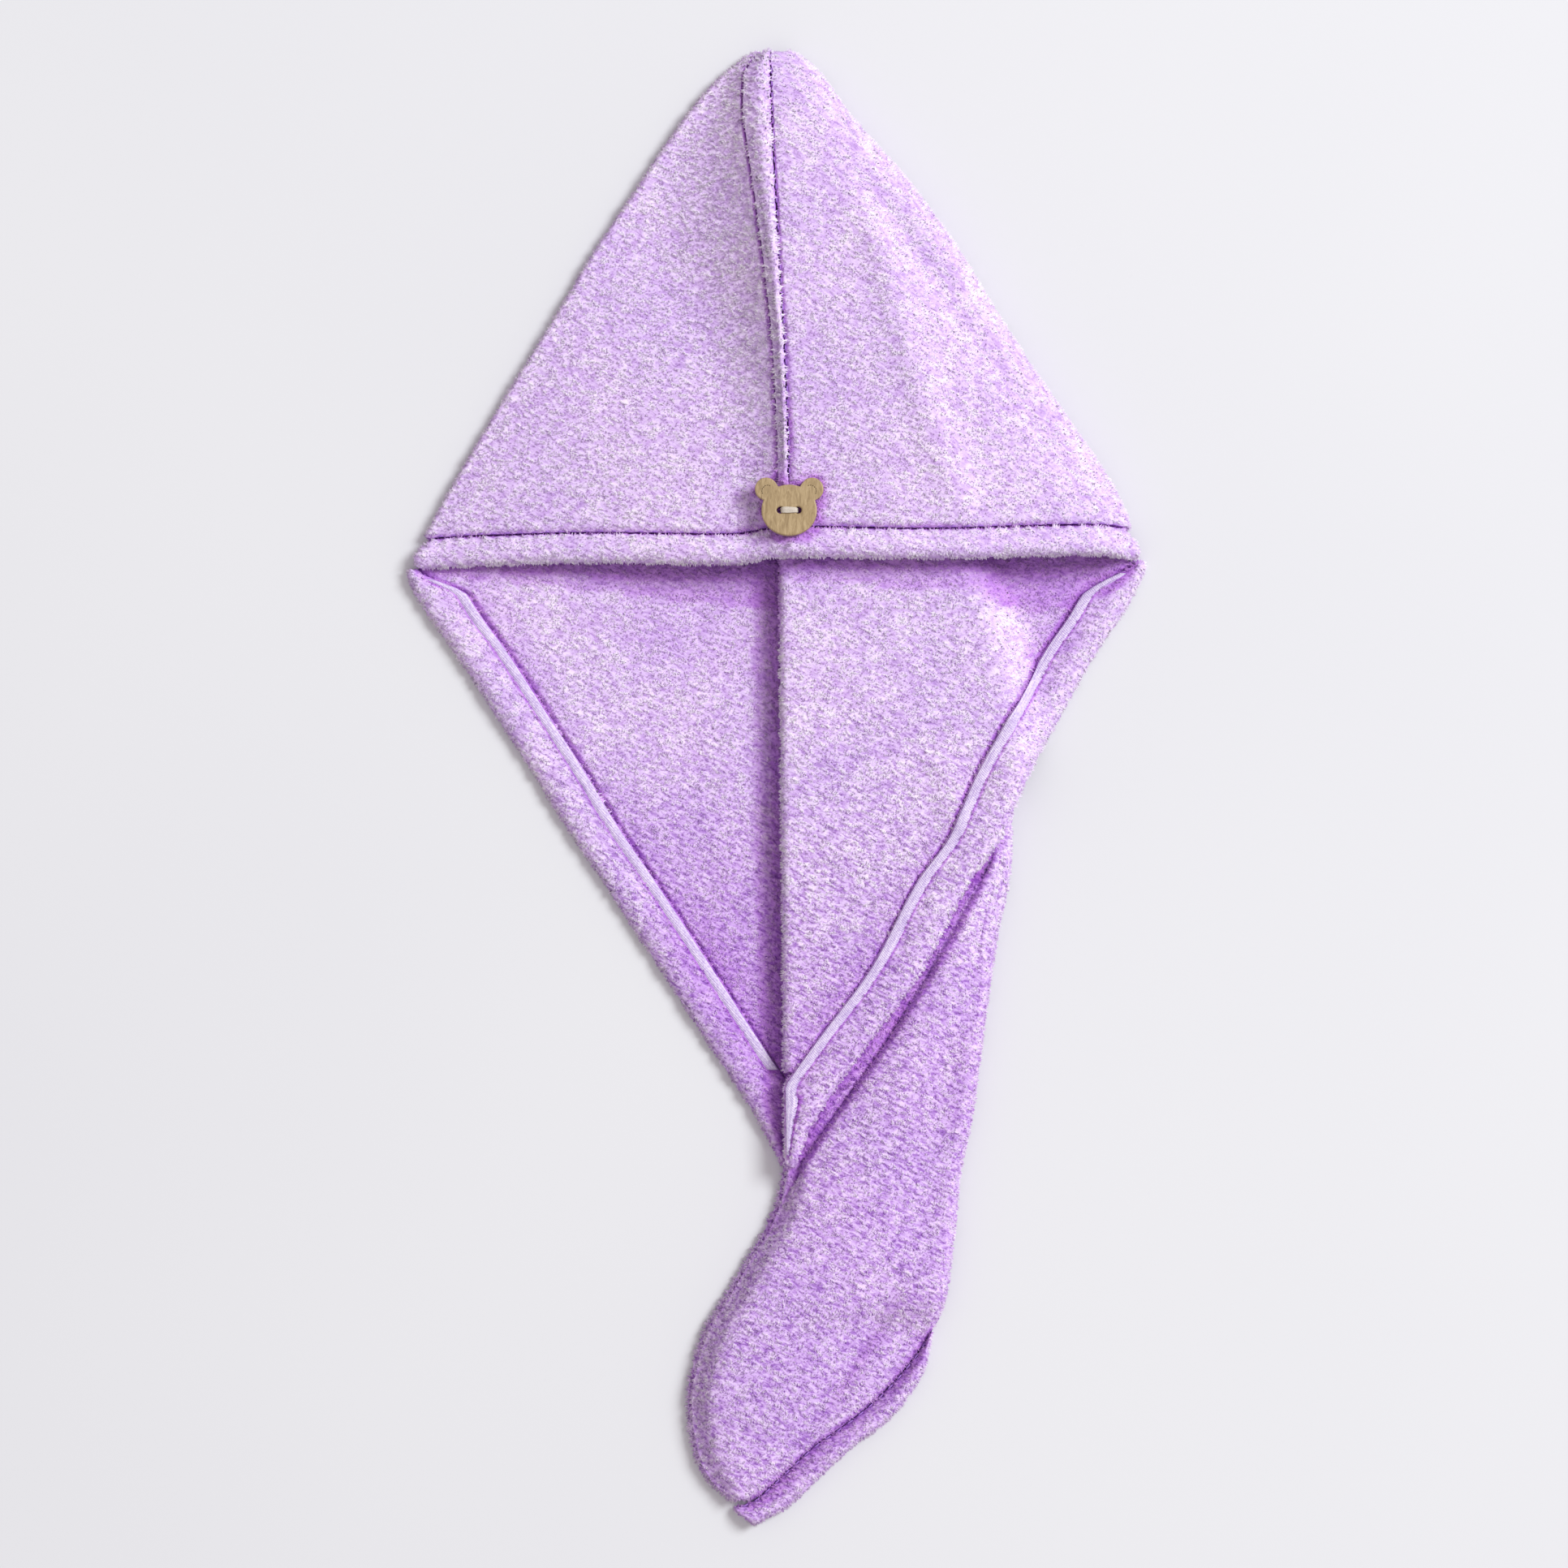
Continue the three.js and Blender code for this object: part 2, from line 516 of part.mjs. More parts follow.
// A closed sheet of cloth from rows of mid-surface points. A row holds null where it has no cloth, and a
// quad is made only where its four corners are cloth and joins(row, column) allows it.
function clothSheet(rows, thickness, joins = () => true) {
  const columns = rows[0].length;
  const at = (i, j) => (rows[i] && rows[i][j]) || null;
  const cell = (i, j) =>
    at(i, j) && at(i, j + 1) && at(i + 1, j) && at(i + 1, j + 1) && joins(i, j);
  const index = new Map();
  const position = [];
  const triangles = [];
  const tangent = (a, b) => new THREE.Vector3().subVectors(b, a).normalize();
  const vertex = (i, j) => {
    const key = i * columns + j;
    if (index.has(key)) return index.get(key);
    const here = at(i, j);
    const acrossTo = at(i, j + 1) && (cell(i, j) || cell(i - 1, j)) ? at(i, j + 1) : here;
    const acrossFrom = at(i, j - 1) && (cell(i, j - 1) || cell(i - 1, j - 1)) ? at(i, j - 1) : here;
    const alongTo = at(i + 1, j) && (cell(i, j) || cell(i, j - 1)) ? at(i + 1, j) : here;
    const alongFrom = at(i - 1, j) && (cell(i - 1, j) || cell(i - 1, j - 1)) ? at(i - 1, j) : here;
    const across =
      acrossTo === here || acrossFrom === here
        ? tangent(acrossFrom, acrossTo)
        : tangent(acrossFrom, here).add(tangent(here, acrossTo)).normalize();
    const along = tangent(alongFrom, alongTo);
    const normal = new THREE.Vector3().crossVectors(along, across).normalize();
    const number = position.length / 3;
    for (const sign of [1, -1]) {
      const p = here.clone().addScaledVector(normal, (sign * thickness) / 2);
      position.push(p.x, p.y, p.z);
    }
    index.set(key, number);
    return number;
  };
  const quad = (a, b, c, d) => triangles.push(a, b, c, a, c, d);
  for (const i of range(rows.length - 1))
    for (const j of range(columns - 1)) {
      if (!cell(i, j)) continue;
      const corners = [vertex(i, j), vertex(i, j + 1), vertex(i + 1, j + 1), vertex(i + 1, j)];
      const [a, b, c, d] = corners;
      quad(a, b, c, d);
      quad(d + 1, c + 1, b + 1, a + 1);
      const open = [!cell(i - 1, j), !cell(i, j + 1), !cell(i + 1, j), !cell(i, j - 1)];
      open.forEach((isOpen, side) => {
        const from = corners[side];
        const to = corners[(side + 1) % 4];
        if (isOpen) quad(to, from, from + 1, to + 1);
      });
    }
  return closedGeometry(position, triangles);
}

// A closed solid lofted through sections that all have the same number of points, with flat ends.
function loft(sections) {
  const around = sections[0].length;
  const position = sections.flatMap((section) => section.flatMap((p) => [p.x, p.y, p.z]));
  const triangles = [];
  for (const i of range(sections.length - 1))
    for (const j of range(around)) {
      const next = (j + 1) % around;
      const [a, b] = [i * around + j, i * around + next];
      triangles.push(a, b, b + around, a, b + around, a + around);
    }
  const last = (sections.length - 1) * around;
  for (const j of range(around - 2)) {
    triangles.push(0, j + 2, j + 1);
    triangles.push(last, last + j + 1, last + j + 2);
  }
  return closedGeometry(position, triangles);
}

// A buffer geometry whose faces point outwards, whichever way its triangles were listed.
function closedGeometry(position, triangles) {
  const geometry = new THREE.BufferGeometry();
  geometry.setAttribute("position", new THREE.Float32BufferAttribute(position, 3));
  const corner = (k) => new THREE.Vector3().fromArray(position, 3 * k);
  let volume = 0;
  for (let k = 0; k < triangles.length; k += 3) {
    const [a, b, c] = triangles.slice(k, k + 3).map(corner);
    volume += a.dot(b.cross(c));
  }
  if (volume < 0) triangles.reverse();
  geometry.setIndex(triangles);
  geometry.computeVertexNormals();
  return geometry;
}

// Points of a path at a station. The rows near the front hem follow its hanging edge.
function placed(path, station) {
  const before = ease((station - places.dropStartShare) / (stitchStation - places.dropStartShare));
  const after = 1 - ease((station - 1) / (places.cornerEndShare - 1));
  const y = yAt(station);
  return path.map(({ x, z }) => {
    const drop = edgeDrop(x / halfWidth) * Math.min(before, after);
    return new THREE.Vector3(x, y - drop, z);
  });
}
const missing = (count) => Array(count).fill(null);

// Stations of the rows, closer together at the peak, where the mouth begins and at the tail's end.
const hoodRows = 14;
const peakCrowding = 1.45; // power by which the hood's rows draw together towards the peak
const hoodStation = (i) => mix(places.firstRowShare, stitchStation, (i / (hoodRows - 1)) ** peakCrowding);
const stations = [
  ...range(hoodRows).map(hoodStation),
  0.97, 1.003, 1.025, 1.055, 1.11, 1.18, 1.25, 1.32, 1.37, 1.41, 1.45, 1.49, 1.54, 1.6, 1.66, 1.72,
  1.78, 1.84, 1.89, 1.94, 1.975, 1.997, 2.003, 2.03, 2.08, 2.14, 2.21, 2.29, 2.37, 2.45, 2.52, 2.59,
  2.65, 2.71, 2.77, 2.83, 2.88, 2.92,
];
const inHood = (station) => station <= stitchStation + 1e-9;

function leftPanel() {
  const front = frontColumns + 1 + foldColumns - 1;
  return clothSheet(
    stations.map((station) => [
      ...(inHood(station)
        ? placed([...frontPath(-1, station), ...foldPath(-1, station).slice(0, -1)], station)
        : missing(front)),
      ...placed(floorPath(station), station),
    ]),
    clothThickness,
  );
}

function rightPanel() {
  const front = frontColumns + 1 + foldColumns - 1;
  return clothSheet(
    stations.map((station) => [
      ...(inHood(station)
        ? placed([...frontPath(1, station), ...foldPath(1, station).slice(0, -1)], station)
        : missing(front)),
      ...(station <= places.topEndShare ? placed(overPath(station), station) : missing(overColumns + 1)),
      ...(station <= places.topEndShare && station >= places.pleatStartShare
        ? placed(turnPath(station), station)
        : missing(turnColumns - 1)),
      ...(station >= places.pleatStartShare
        ? placed(underPath(station), station)
        : missing(underColumns + crestColumns + humpColumns + 1 + arcColumns)),
    ]),
    clothThickness,
  );
}

// The section of the crown seam: shares of the way from its right edge to its left one, of its height
// above the cloth's, and of its own rise.
const ridgeSection = [
  { across: 0, up: 1, rise: 0 },
  { across: 0.25, up: 1, rise: 1 },
  { across: 0.7, up: 1, rise: 0.8 },
  { across: 1, up: 0.75, rise: 0 },
  { across: 1, up: 0, rise: 0 },
];

// The felled seam from the peak to the front hem: a ridge that stands over the shoulder on its left, and
// sinks in under the button.
function crownSeamRidge() {
  const steps = 24;
  const first = places.firstRowShare / 3;
  const last = stitchStation - (2 * clearance) / hoodLength;
  const brow = buttonDown - faceHeight / 2 / hoodLength;
  return loft(
    range(steps + 1).map((i) => {
      const station = mix(first, last, (i / steps) ** peakCrowding);
      const right = crownSeam(station) - clearance / 2;
      const left = right - crownSeamSpan(station) + 2 * clearance;
      const rise = crownSeamRise * ease((brow - station) / seamSinkingShare);
      const high = crownTop(station) + clothThickness / 2;
      const low = frontHeight(station, left) - clothThickness / 2;
      const under = Math.min(high - clothThickness, mix(low, high, 0.5));
      const top = ridgeSection.map((row) => ({
        x: mix(right, left, row.across),
        z: mix(low, high, row.up) + rise * row.rise,
      }));
      return placed([{ x: right, z: under }, ...top], station);
    }),
  );
}

// The section of a turned hem: shares of its width from the outer edge inwards, and of its thickness.
const hemSection = [
  { across: 0.06, rise: 0.06 },
  { across: 0.2, rise: 0.0 },
  { across: 0.35, rise: 0.0 },
  { across: 0.5, rise: 0.0 },
  { across: 0.65, rise: 0.0 },
  { across: 0.8, rise: 0.0 },
  { across: 0.97, rise: 0.0 },
  { across: 1.0, rise: 0.4 },
  { across: 0.96, rise: 0.72 },
  { across: 0.7, rise: 0.82 },
  { across: 0.4, rise: 1.0 },
  { across: 0.12, rise: 0.9 },
  { across: 0.0, rise: 0.45 },
];

function frontHem() {
  const steps = 28;
  const upper = stitchStation;
  return loft(
    range(steps + 1).map((i) => {
      const share = (1 - Math.cos((i / steps) * Math.PI)) / 2;
      const atEnd = i === 0 || i === steps ? bends.hemEndShare : 1;
      return hemSection.map(({ across, rise }) => {
        const inset = mix(0.5, across, atEnd);
        const station = mix(1, upper, inset);
        const x = mix(edge(-1, station), edge(1, station), share);
        const onFloor = clothThickness + clearance + hemThickness / 2;
        const onBack = x > pleatFold(1) ? backHeight(1, x) - floorMiddle + onFloor : onFloor;
        const middle = Math.max(frontHeight(upper, x) + hemRaise, onBack);
        const y = yAt(1) - edgeDrop(x / halfWidth) + (hemWidth - 2 * clearance) * inset;
        return new THREE.Vector3(x, y, middle + hemThickness * (rise - 0.5) * atEnd);
      });
    }),
  );
}

const mouthStations = stations.filter((station) => station > 1 && station < places.vPointShare);
// Height of the underside of a mouth hem.
const hemUnderside = (side, station, x) =>
  side < 0 ? 0 : backHeight(station, x) - clothThickness / 2;

function mouthHem(side) {
  return loft(
    mouthStations.map((station) => {
      const outer = edge(side, station) + side * (clothThickness / 2);
      const inner = hemInnerEdge(side, station);
      return placed(
        hemSection.map(({ across, rise }) => {
          const x = mix(outer, inner, across);
          return { x, z: hemUnderside(side, station, x) + rise * hemThickness };
        }),
        station,
      );
    }),
  );
}

// The satin tape that covers the turned edge, lying on the hem's inner side.
function hemTape(side) {
  const shares = [
    { across: 0, rise: 0 },
    { across: 1, rise: 0 },
    { across: 1, rise: 1 },
    { across: 0.5, rise: 1.2 },
    { across: 0, rise: 1 },
  ];
  return loft(
    mouthStations
      .filter((station) => station > 1.02 && station <= places.topEndShare)
      .map((station) => {
        const inner = hemInnerEdge(side, station) + side * clearance;
        const outer = edge(side, station);
        const wide = Math.min(tapeWidth / Math.sin(hemSlope), Math.abs(outer - inner) * bends.widestTape);
        return placed(
          shares.map(({ across, rise }) => {
            const x = inner + side * wide * across;
            const under = hemUnderside(side, station, x) + hemTop(side, station, x) + clearance;
            return { x, z: under + rise * tapeThickness };
          }),
          station,
        );
      }),
  );
}
// How far a mouth hem's top stands above its underside at x.
function hemTop(side, station, x) {
  const outer = edge(side, station) + side * (clothThickness / 2);
  const inner = hemInnerEdge(side, station);
  const share = clamp01((x - outer) / (inner - outer));
  const top = hemSection.filter((row) => row.rise >= 0.4 && row.across < 1).reverse();
  return hemThickness * column(top, "across", "rise")(share);
}

// The section of the tail's seam: shares of its width from the outer edge inwards, and of its height.
const tailSeamSection = [
  { across: 1, up: 0 },
  { across: 0.3, up: 0 },
  { across: 0, up: 0.5 },
  { across: 0.3, up: 1 },
  { across: 1, up: 1 },
];

// The seam that closes the tail along its left side.
function tailSeam() {
  const rows = stations.filter((station) => station > places.vPointShare);
  return loft(
    rows.map((station) => {
      const outer = tailLeft(station) + pileDepth;
      const section = tailSeamSection.map(({ across, up }) => ({
        x: mix(outer, outer + tailSeamWidth, across),
        z: mix(clearance, tailSeamHeight, up),
      }));
      return placed(section, station);
    }),
  );
}

// The hem across the tail's end, turned and stitched through both cloths: from the stitch line, where the
// panels end, out to the end hem's line.
function tailEndHem() {
  const firstRow = Math.max(...stations.filter((station) => station <= endHemLine[0].station));
  const rows = stations.filter((station) => station >= firstRow);
  const last = endHemLine[endHemLine.length - 1];
  const line = rows.map((station) => new THREE.Vector2(spine(station), yAt(station)));
  const stitch = line.map((point, i) => {
    const ahead = line[Math.min(i + 1, rows.length - 1)].clone().sub(line[Math.max(i - 1, 0)]);
    const outwards = new THREE.Vector2(-ahead.y, ahead.x).normalize();
    return point.clone().addScaledVector(outwards, clothThickness / 2 + clearance);
  });
  stitch.push(new THREE.Vector2(tailLeft(last.station), yAt(last.station - endCornerShare)));
  const outerX = column(endHemLine, "station", "x");
  return loft(
    stitch.map((inner, i) => {
      const station = mix(endHemLine[0].station, last.station, i / (stitch.length - 1));
      const outer = new THREE.Vector2(outerX(station) * halfWidth - pileDepth, yAt(station));
      return hemSection.map(({ across, rise }) => {
        const at = outer.clone().lerp(inner, across);
        return new THREE.Vector3(at.x, at.y, rise * endHemThickness);
      });
    }),
  );
}

// A three.js geometry as a manifold-3d solid, and back.
function solidOf(geometry) {
  const bare = geometry.clone();
  bare.deleteAttribute("normal");
  bare.deleteAttribute("uv");
  const merged = mergeVertices(bare, 1e-4);
  return new wasm.Manifold(
    new wasm.Mesh({
      numProp: 3,
      vertProperties: merged.attributes.position.array,
      triVerts: new Uint32Array(merged.index.array),
    }),
  );
}
function geometryOf(solid) {
  const mesh = solid.getMesh();
  const geometry = new THREE.BufferGeometry();
  geometry.setAttribute("position", new THREE.BufferAttribute(mesh.vertProperties, 3));
  geometry.setIndex(new THREE.BufferAttribute(mesh.triVerts, 1));
  geometry.computeVertexNormals();
  return geometry;
}
// An upright round disc or pin, from z = low to z = high.
function disc(radius, low, high, x, y, sides = 28) {
  const geometry = new THREE.CylinderGeometry(radius, radius, high - low, sides);
  return geometry.rotateX(Math.PI / 2).translate(x, y, (low + high) / 2);
}
// A disc whose upper rim is rounded off by a chamfer.
function chamferedDisc(radius, x, y, sides) {
  const chamfer = buttonThickness * bends.buttonChamfer;
  const profile = [
    new THREE.Vector2(0, 0),
    new THREE.Vector2(radius, 0),
    new THREE.Vector2(radius, buttonThickness - chamfer),
    new THREE.Vector2(radius - chamfer, buttonThickness),
    new THREE.Vector2(0, buttonThickness),
  ];
  return new THREE.LatheGeometry(profile, sides).rotateX(Math.PI / 2).translate(x, y, 0);
}

function bearButton() {
  const face = chamferedDisc(faceWidth / 2, 0, 0, 36).scale(1, faceHeight / faceWidth, 1);
  let solid = solidOf(face);
  for (const side of [-1, 1])
    solid = solid.add(solidOf(chamferedDisc(earRadius, side * earSpread, earLift, 20)));
  for (const side of [-1, 1])
    solid = solid.subtract(
      solidOf(disc(holeRadius, -1, buttonThickness + 1, side * holeSpread, 0, 14)),
    );
  return geometryOf(solid);
}
// The thread: a bar across the button's face between its holes, and a leg down through each.
function buttonThread(reach) {
  const top = buttonThickness + clearance;
  const legX = holeSpread - holeRadius + clearance + threadThickness;
  const bar = new THREE.BoxGeometry(2 * legX, threadWidth, threadThickness);
  let solid = solidOf(bar.translate(0, 0, top + threadThickness / 2));
  for (const side of [-1, 1])
    solid = solid.add(
      solidOf(disc(threadThickness, -reach, top + threadThickness / 2, side * legX, 0, 10)),
    );
  return geometryOf(solid);
}

// Colours and finishes.
const fleece = { color: 0xcdb0e8, roughness: 0.95 };
const fleeceHem = { color: 0xd6bdee, roughness: 0.95 };
const satin = { color: 0xeee4f8, roughness: 0.45 };
const resin = { color: 0xa08a5c, roughness: 0.5 };
const thread = { color: 0xd8cfc0, roughness: 0.8 };

function piece(name, geometry, look) {
  const mesh = new THREE.Mesh(geometry, new THREE.MeshStandardMaterial({ metalness: 0, ...look }));
  mesh.name = name;
  return mesh;
}

// The button lies on the crown seam with its chin on the front hem.
function buttonGroup() {
  const group = new THREE.Group();
  const x = crownSeam(buttonDown);
  const chinTop = frontHeight(stitchStation, x) + hemRaise + hemThickness / 2;
  const browTop = crownTop(buttonDown) + clothThickness / 2 + crownSeamRise;
  const tilt = THREE.MathUtils.degToRad(-buttonTilt);
  const seat = Math.max(chinTop, browTop) + clearance;
  group.position.set(x, yAt(buttonDown), seat);
  group.rotation.x = tilt;
  const reach = seat - crownTop(buttonDown) - clothThickness / 2 - clearance;
  group.add(piece("button", bearButton(), resin));
  group.add(piece("button_thread", buttonThread(Math.max(reach, clearance)), thread));
  return group;
}

const towel = new THREE.Group();
towel.add(piece("left_panel", leftPanel(), fleece));
towel.add(piece("right_panel", rightPanel(), fleece));
towel.add(piece("crown_seam", crownSeamRidge(), fleeceHem));
towel.add(piece("front_hem", frontHem(), fleeceHem));
for (const [word, side] of [["left", -1], ["right", 1]]) {
  towel.add(piece(`mouth_hem_${word}`, mouthHem(side), fleeceHem));
  towel.add(piece(`hem_tape_${word}`, hemTape(side), satin));
}
towel.add(piece("tail_seam", tailSeam(), fleeceHem));
towel.add(piece("tail_end_hem", tailEndHem(), fleeceHem));
towel.add(buttonGroup());

export default towel;
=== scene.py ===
"""A hair turban towel of coral fleece lying on a pale floor, seen from straight above."""
import math
import bpy
import bmesh
import numpy as np
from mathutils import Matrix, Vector
from mathutils.bvhtree import BVHTree


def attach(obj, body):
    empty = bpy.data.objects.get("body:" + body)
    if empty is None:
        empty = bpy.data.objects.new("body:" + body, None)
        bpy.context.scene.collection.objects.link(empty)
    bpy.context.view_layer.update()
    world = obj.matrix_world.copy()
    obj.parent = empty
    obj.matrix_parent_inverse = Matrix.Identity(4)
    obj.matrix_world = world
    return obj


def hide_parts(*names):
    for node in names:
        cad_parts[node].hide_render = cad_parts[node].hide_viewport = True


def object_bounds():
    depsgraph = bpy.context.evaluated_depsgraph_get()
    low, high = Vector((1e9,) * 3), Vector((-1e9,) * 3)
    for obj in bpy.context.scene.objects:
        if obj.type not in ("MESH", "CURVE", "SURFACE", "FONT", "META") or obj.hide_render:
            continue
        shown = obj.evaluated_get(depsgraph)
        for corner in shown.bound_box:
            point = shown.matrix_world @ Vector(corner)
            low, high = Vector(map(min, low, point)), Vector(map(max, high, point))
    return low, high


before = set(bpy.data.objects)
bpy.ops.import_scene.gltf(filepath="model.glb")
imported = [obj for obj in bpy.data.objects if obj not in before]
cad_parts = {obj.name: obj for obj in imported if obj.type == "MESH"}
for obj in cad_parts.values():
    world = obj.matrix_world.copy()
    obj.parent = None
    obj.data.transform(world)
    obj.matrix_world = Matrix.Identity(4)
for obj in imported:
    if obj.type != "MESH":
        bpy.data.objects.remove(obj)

MM = 0.001
cad_box = [list(corner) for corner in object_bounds()]
rng = np.random.default_rng(7)
scene = bpy.context.scene

# sizes in millimetres, the same as those of the towel's solids
HOOD_WIDTH = 276
HOOD_LENGTH = 190
MOUTH_LENGTH = 224
TAIL_LENGTH = 134
CROWN_HEIGHT = 20.4
PLEAT_HEIGHT = 11.8
TAIL_HEIGHT = 12.6
CLOTH = 2.4
PILE = 0.8
FOLD_RADIUS = 2.6
HEM_WIDTH = 11
HEM_THICKNESS = 4.8
HEM_RAISE = 0.6
END_HEM_THICKNESS = 6.4
TAPE_WIDTH = 4.5
TAPE_THICKNESS = 0.8
CROWN_SEAM_WIDTH = 9.4
CROWN_SEAM_RISE = 1.0
CROWN_SEAM_STEP = 1.2
TAIL_SEAM_WIDTH = 2.6
TAIL_SEAM_HEIGHT = 2.6  # lower than the solid's, because here the upper cloth laps over it
TAIL_SEAM_SHOWN = 0.5  # how much further in the upper cloth starts than the tail's inset outline
PLEAT_SHOULDER = 15
TAIL_SHOULDER = 0.7
CREST_WIDTH = 3
CLEARANCE = 0.3
FACE_WIDTH, FACE_HEIGHT = 20.4, 18.8
EAR_RADIUS, EAR_SPREAD, EAR_LIFT = 4.2, 8.4, 7.8
BUTTON_THICKNESS = 3.0
BUTTON_TILT = math.radians(-2.5)
HOLE_RADIUS, HOLE_SPREAD = 1.25, 3.3
BUTTON_DOWN = 0.904  # its place, as a share of the hood's length

FLOOR_MIDDLE = CLOTH / 2
LAYER = CLOTH + CLEARANCE
TOTAL = HOOD_LENGTH + MOUTH_LENGTH + TAIL_LENGTH
HALF = HOOD_WIDTH / 2
INSET = CLOTH / 2 + PILE

# stations, and spans of stations
V_POINT = 2.0
PLEAT_START = 0.3
PLEAT_LIFT = 0.12
SEAM_SINKING = 0.05
END_CLOSING = 0.1
END_CORNER = 0.04
TOP_END = 1.84
CORNER_END = 1.055
STITCH = 1 - HEM_WIDTH / HOOD_LENGTH
EDGE_WAVE = 0.6  # from here to the stitches the front edge's wave fades in
TAIL_RISE = 1.4  # from here on the tail's cloth rises inside the pleat
RISE_SPAN = 0.14
SHOULDER_SPAN = 0.4
FREE_SPAN = 0.14  # past the V the tail comes free of the mouth hems
LEVEL_SPAN = 0.08
NEARLY = 1e-9

# bare shares
DOME_ROUNDNESS = 3.6
PLANE_ROUNDNESS = 1.3
FLANK_HOLLOW = 2
FOLD_ENDS = 4
WALL_ENDS = 3
REST_ENDS = 4
WIDEST_SEAM = 0.55
SHARPEST_BEND = 0.25
CREST_LOW = 0.86
CREST_SWELL = 0.56
CREST_SIDE = 0.6
WIDEST_BROW = 0.4
WIDEST_TAPE = 0.4

# A station runs from 0 at the peak to 1 at the front hem, 2 at the point of the V and 3 at the tail's tip.
# Each row starts with its station; lines are shares of half the hood's width.
OUTLINE = [  # left, right
    (0.0, -0.045, 0.03), (0.012, -0.085, 0.065), (0.032, -0.121, 0.1), (0.064, -0.174, 0.14),
    (0.127, -0.248, 0.2), (0.19, -0.31, 0.276), (0.253, -0.367, 0.352), (0.379, -0.485, 0.48),
    (0.506, -0.59, 0.589), (0.632, -0.698, 0.7), (0.758, -0.804, 0.815), (0.885, -0.909, 0.922),
    (0.948, -0.96, 0.962), (0.979, -0.988, 0.987), (1.009, -0.998, 0.998), (1.036, -0.989, 0.98),
    (1.063, -0.967, 0.956), (1.09, -0.939, 0.93), (1.143, -0.876, 0.87), (1.25, -0.763, 0.771),
    (1.358, -0.65, 0.674), (1.41, -0.6, 0.637), (1.454, -0.554, 0.606), (1.528, -0.472, 0.52),
    (1.667, -0.324, 0.4), (1.798, -0.186, 0.243), (1.905, -0.072, 0.122), (1.95, -0.03, 0.08),
    (2.0, 0.012, 0.052),
]
CROWN_SEAM_LINE = [  # x, width, share of the wall's rise that its left flank climbs, share of its width
    (0.0, -0.018, 0.6, 0.3, 1.0), (0.03, -0.017, 0.85, 0.6, 1.0), (0.12, -0.013, 1.0, 0.92, 1.0),
    (0.2, -0.009, 0.85, 1.0, 0.96), (0.31, -0.001, 0.66, 0.97, 0.84), (0.45, 0.009, 0.43, 0.82, 0.56),
    (0.6, 0.022, 0.32, 0.55, 0.32), (0.8, 0.031, 0.28, 0.28, 0.16), (1.0, 0.035, 0.26, 0.12, 0.12),
]
PLEAT_LINES = [  # fold, spine
    (0.0, 0.01, 0.0), (0.2, 0.06, 0.09), (0.4, 0.03, 0.26), (0.51, 0.024, 0.33), (0.7, 0.018, 0.405),
    (1.0, 0.018, 0.49), (1.084, 0.019, 0.53), (1.183, 0.02, 0.578), (1.257, 0.021, 0.602),
    (1.344, 0.022, 0.622), (1.424, 0.023, 0.637), (1.491, 0.024, 0.635), (1.6, 0.026, 0.602),
    (1.705, 0.027, 0.576), (1.812, 0.028, 0.552), (1.92, 0.03, 0.528), (2.0, 0.032, 0.5),
]
TAIL_LINES = [  # left, spine
    (2.0, 0.014, 0.5), (2.09, -0.002, 0.49), (2.18, -0.037, 0.482), (2.27, -0.091, 0.472),
    (2.36, -0.142, 0.459), (2.46, -0.199, 0.42), (2.556, -0.23, 0.354), (2.639, -0.245, 0.278),
    (2.71, -0.242, 0.193), (2.773, -0.232, 0.107), (2.83, -0.217, 0.046), (2.883, -0.181, -0.009),
    (2.92, -0.142, -0.051), (2.944, -0.114, -0.08),
]
END_HEM_LINE = [  # x
    (2.46, 0.421), (2.538, 0.409), (2.628, 0.366), (2.717, 0.289), (2.762, 0.226), (2.851, 0.13),
    (2.941, 0.037), (2.992, -0.05),
]
HEIGHTS = [  # crown, pleat, tail
    (0.0, 0.26, 0.35, 0.5), (0.03, 0.42, 0.35, 0.5), (0.1, 0.62, 0.4, 0.5), (0.25, 0.85, 0.58, 0.5),
    (0.5, 0.97, 0.76, 0.6), (0.8, 1.0, 0.95, 0.7), (1.0, 1.0, 1.0, 0.7), (1.4, 1.0, 1.0, 0.74),
    (1.55, 1.0, 0.98, 0.86), (1.8, 1.0, 0.92, 0.97), (2.0, 1.0, 0.72, 0.9), (2.3, 1.0, 0.7, 1.0),
    (2.6, 1.0, 0.7, 0.92), (2.8, 1.0, 0.7, 0.7), (2.935, 1.0, 0.7, 0.46),
]
CREST_LINE = [  # x
    (1.38, 0.62), (1.462, 0.6), (1.569, 0.507), (1.683, 0.406), (1.79, 0.3), (1.872, 0.208),
    (1.953, 0.116), (2.0, 0.066),
]
FRONT_EDGE = [  # x, drop as a share of the hem's width
    (-1.0, 0.18), (-0.8, 0.05), (-0.5, -0.02), (-0.12, 0.05), (0.02, -0.18), (0.4, -0.11), (0.85, -0.26),
    (1.0, -0.1),
]
# sheet, station, x, to station, to x, rise in cloth thicknesses, width as a share of the hood's
RELIEFS = [
    ("front", 0.2, 0.2, 1.04, 0.54, 0.7, 0.026),
    ("front", 0.4, 0.26, 1.04, 0.34, 0.7, 0.08),
    ("front", 0.18, 0.17, 0.97, 0.93, -1.1, 0.026),
    ("tail", 2.24, 0.38, 2.9, -0.02, -0.8, 0.022),
    ("tail", 1.7, 0.5, 2.3, 0.4, -0.5, 0.03),
    ("back", 1.3, 0.44, 1.46, 0.5, 0.35, 0.02),
]


def clamp01(v):
    return np.clip(v, 0.0, 1.0)


def mix(a, b, share):
    return a + (b - a) * share


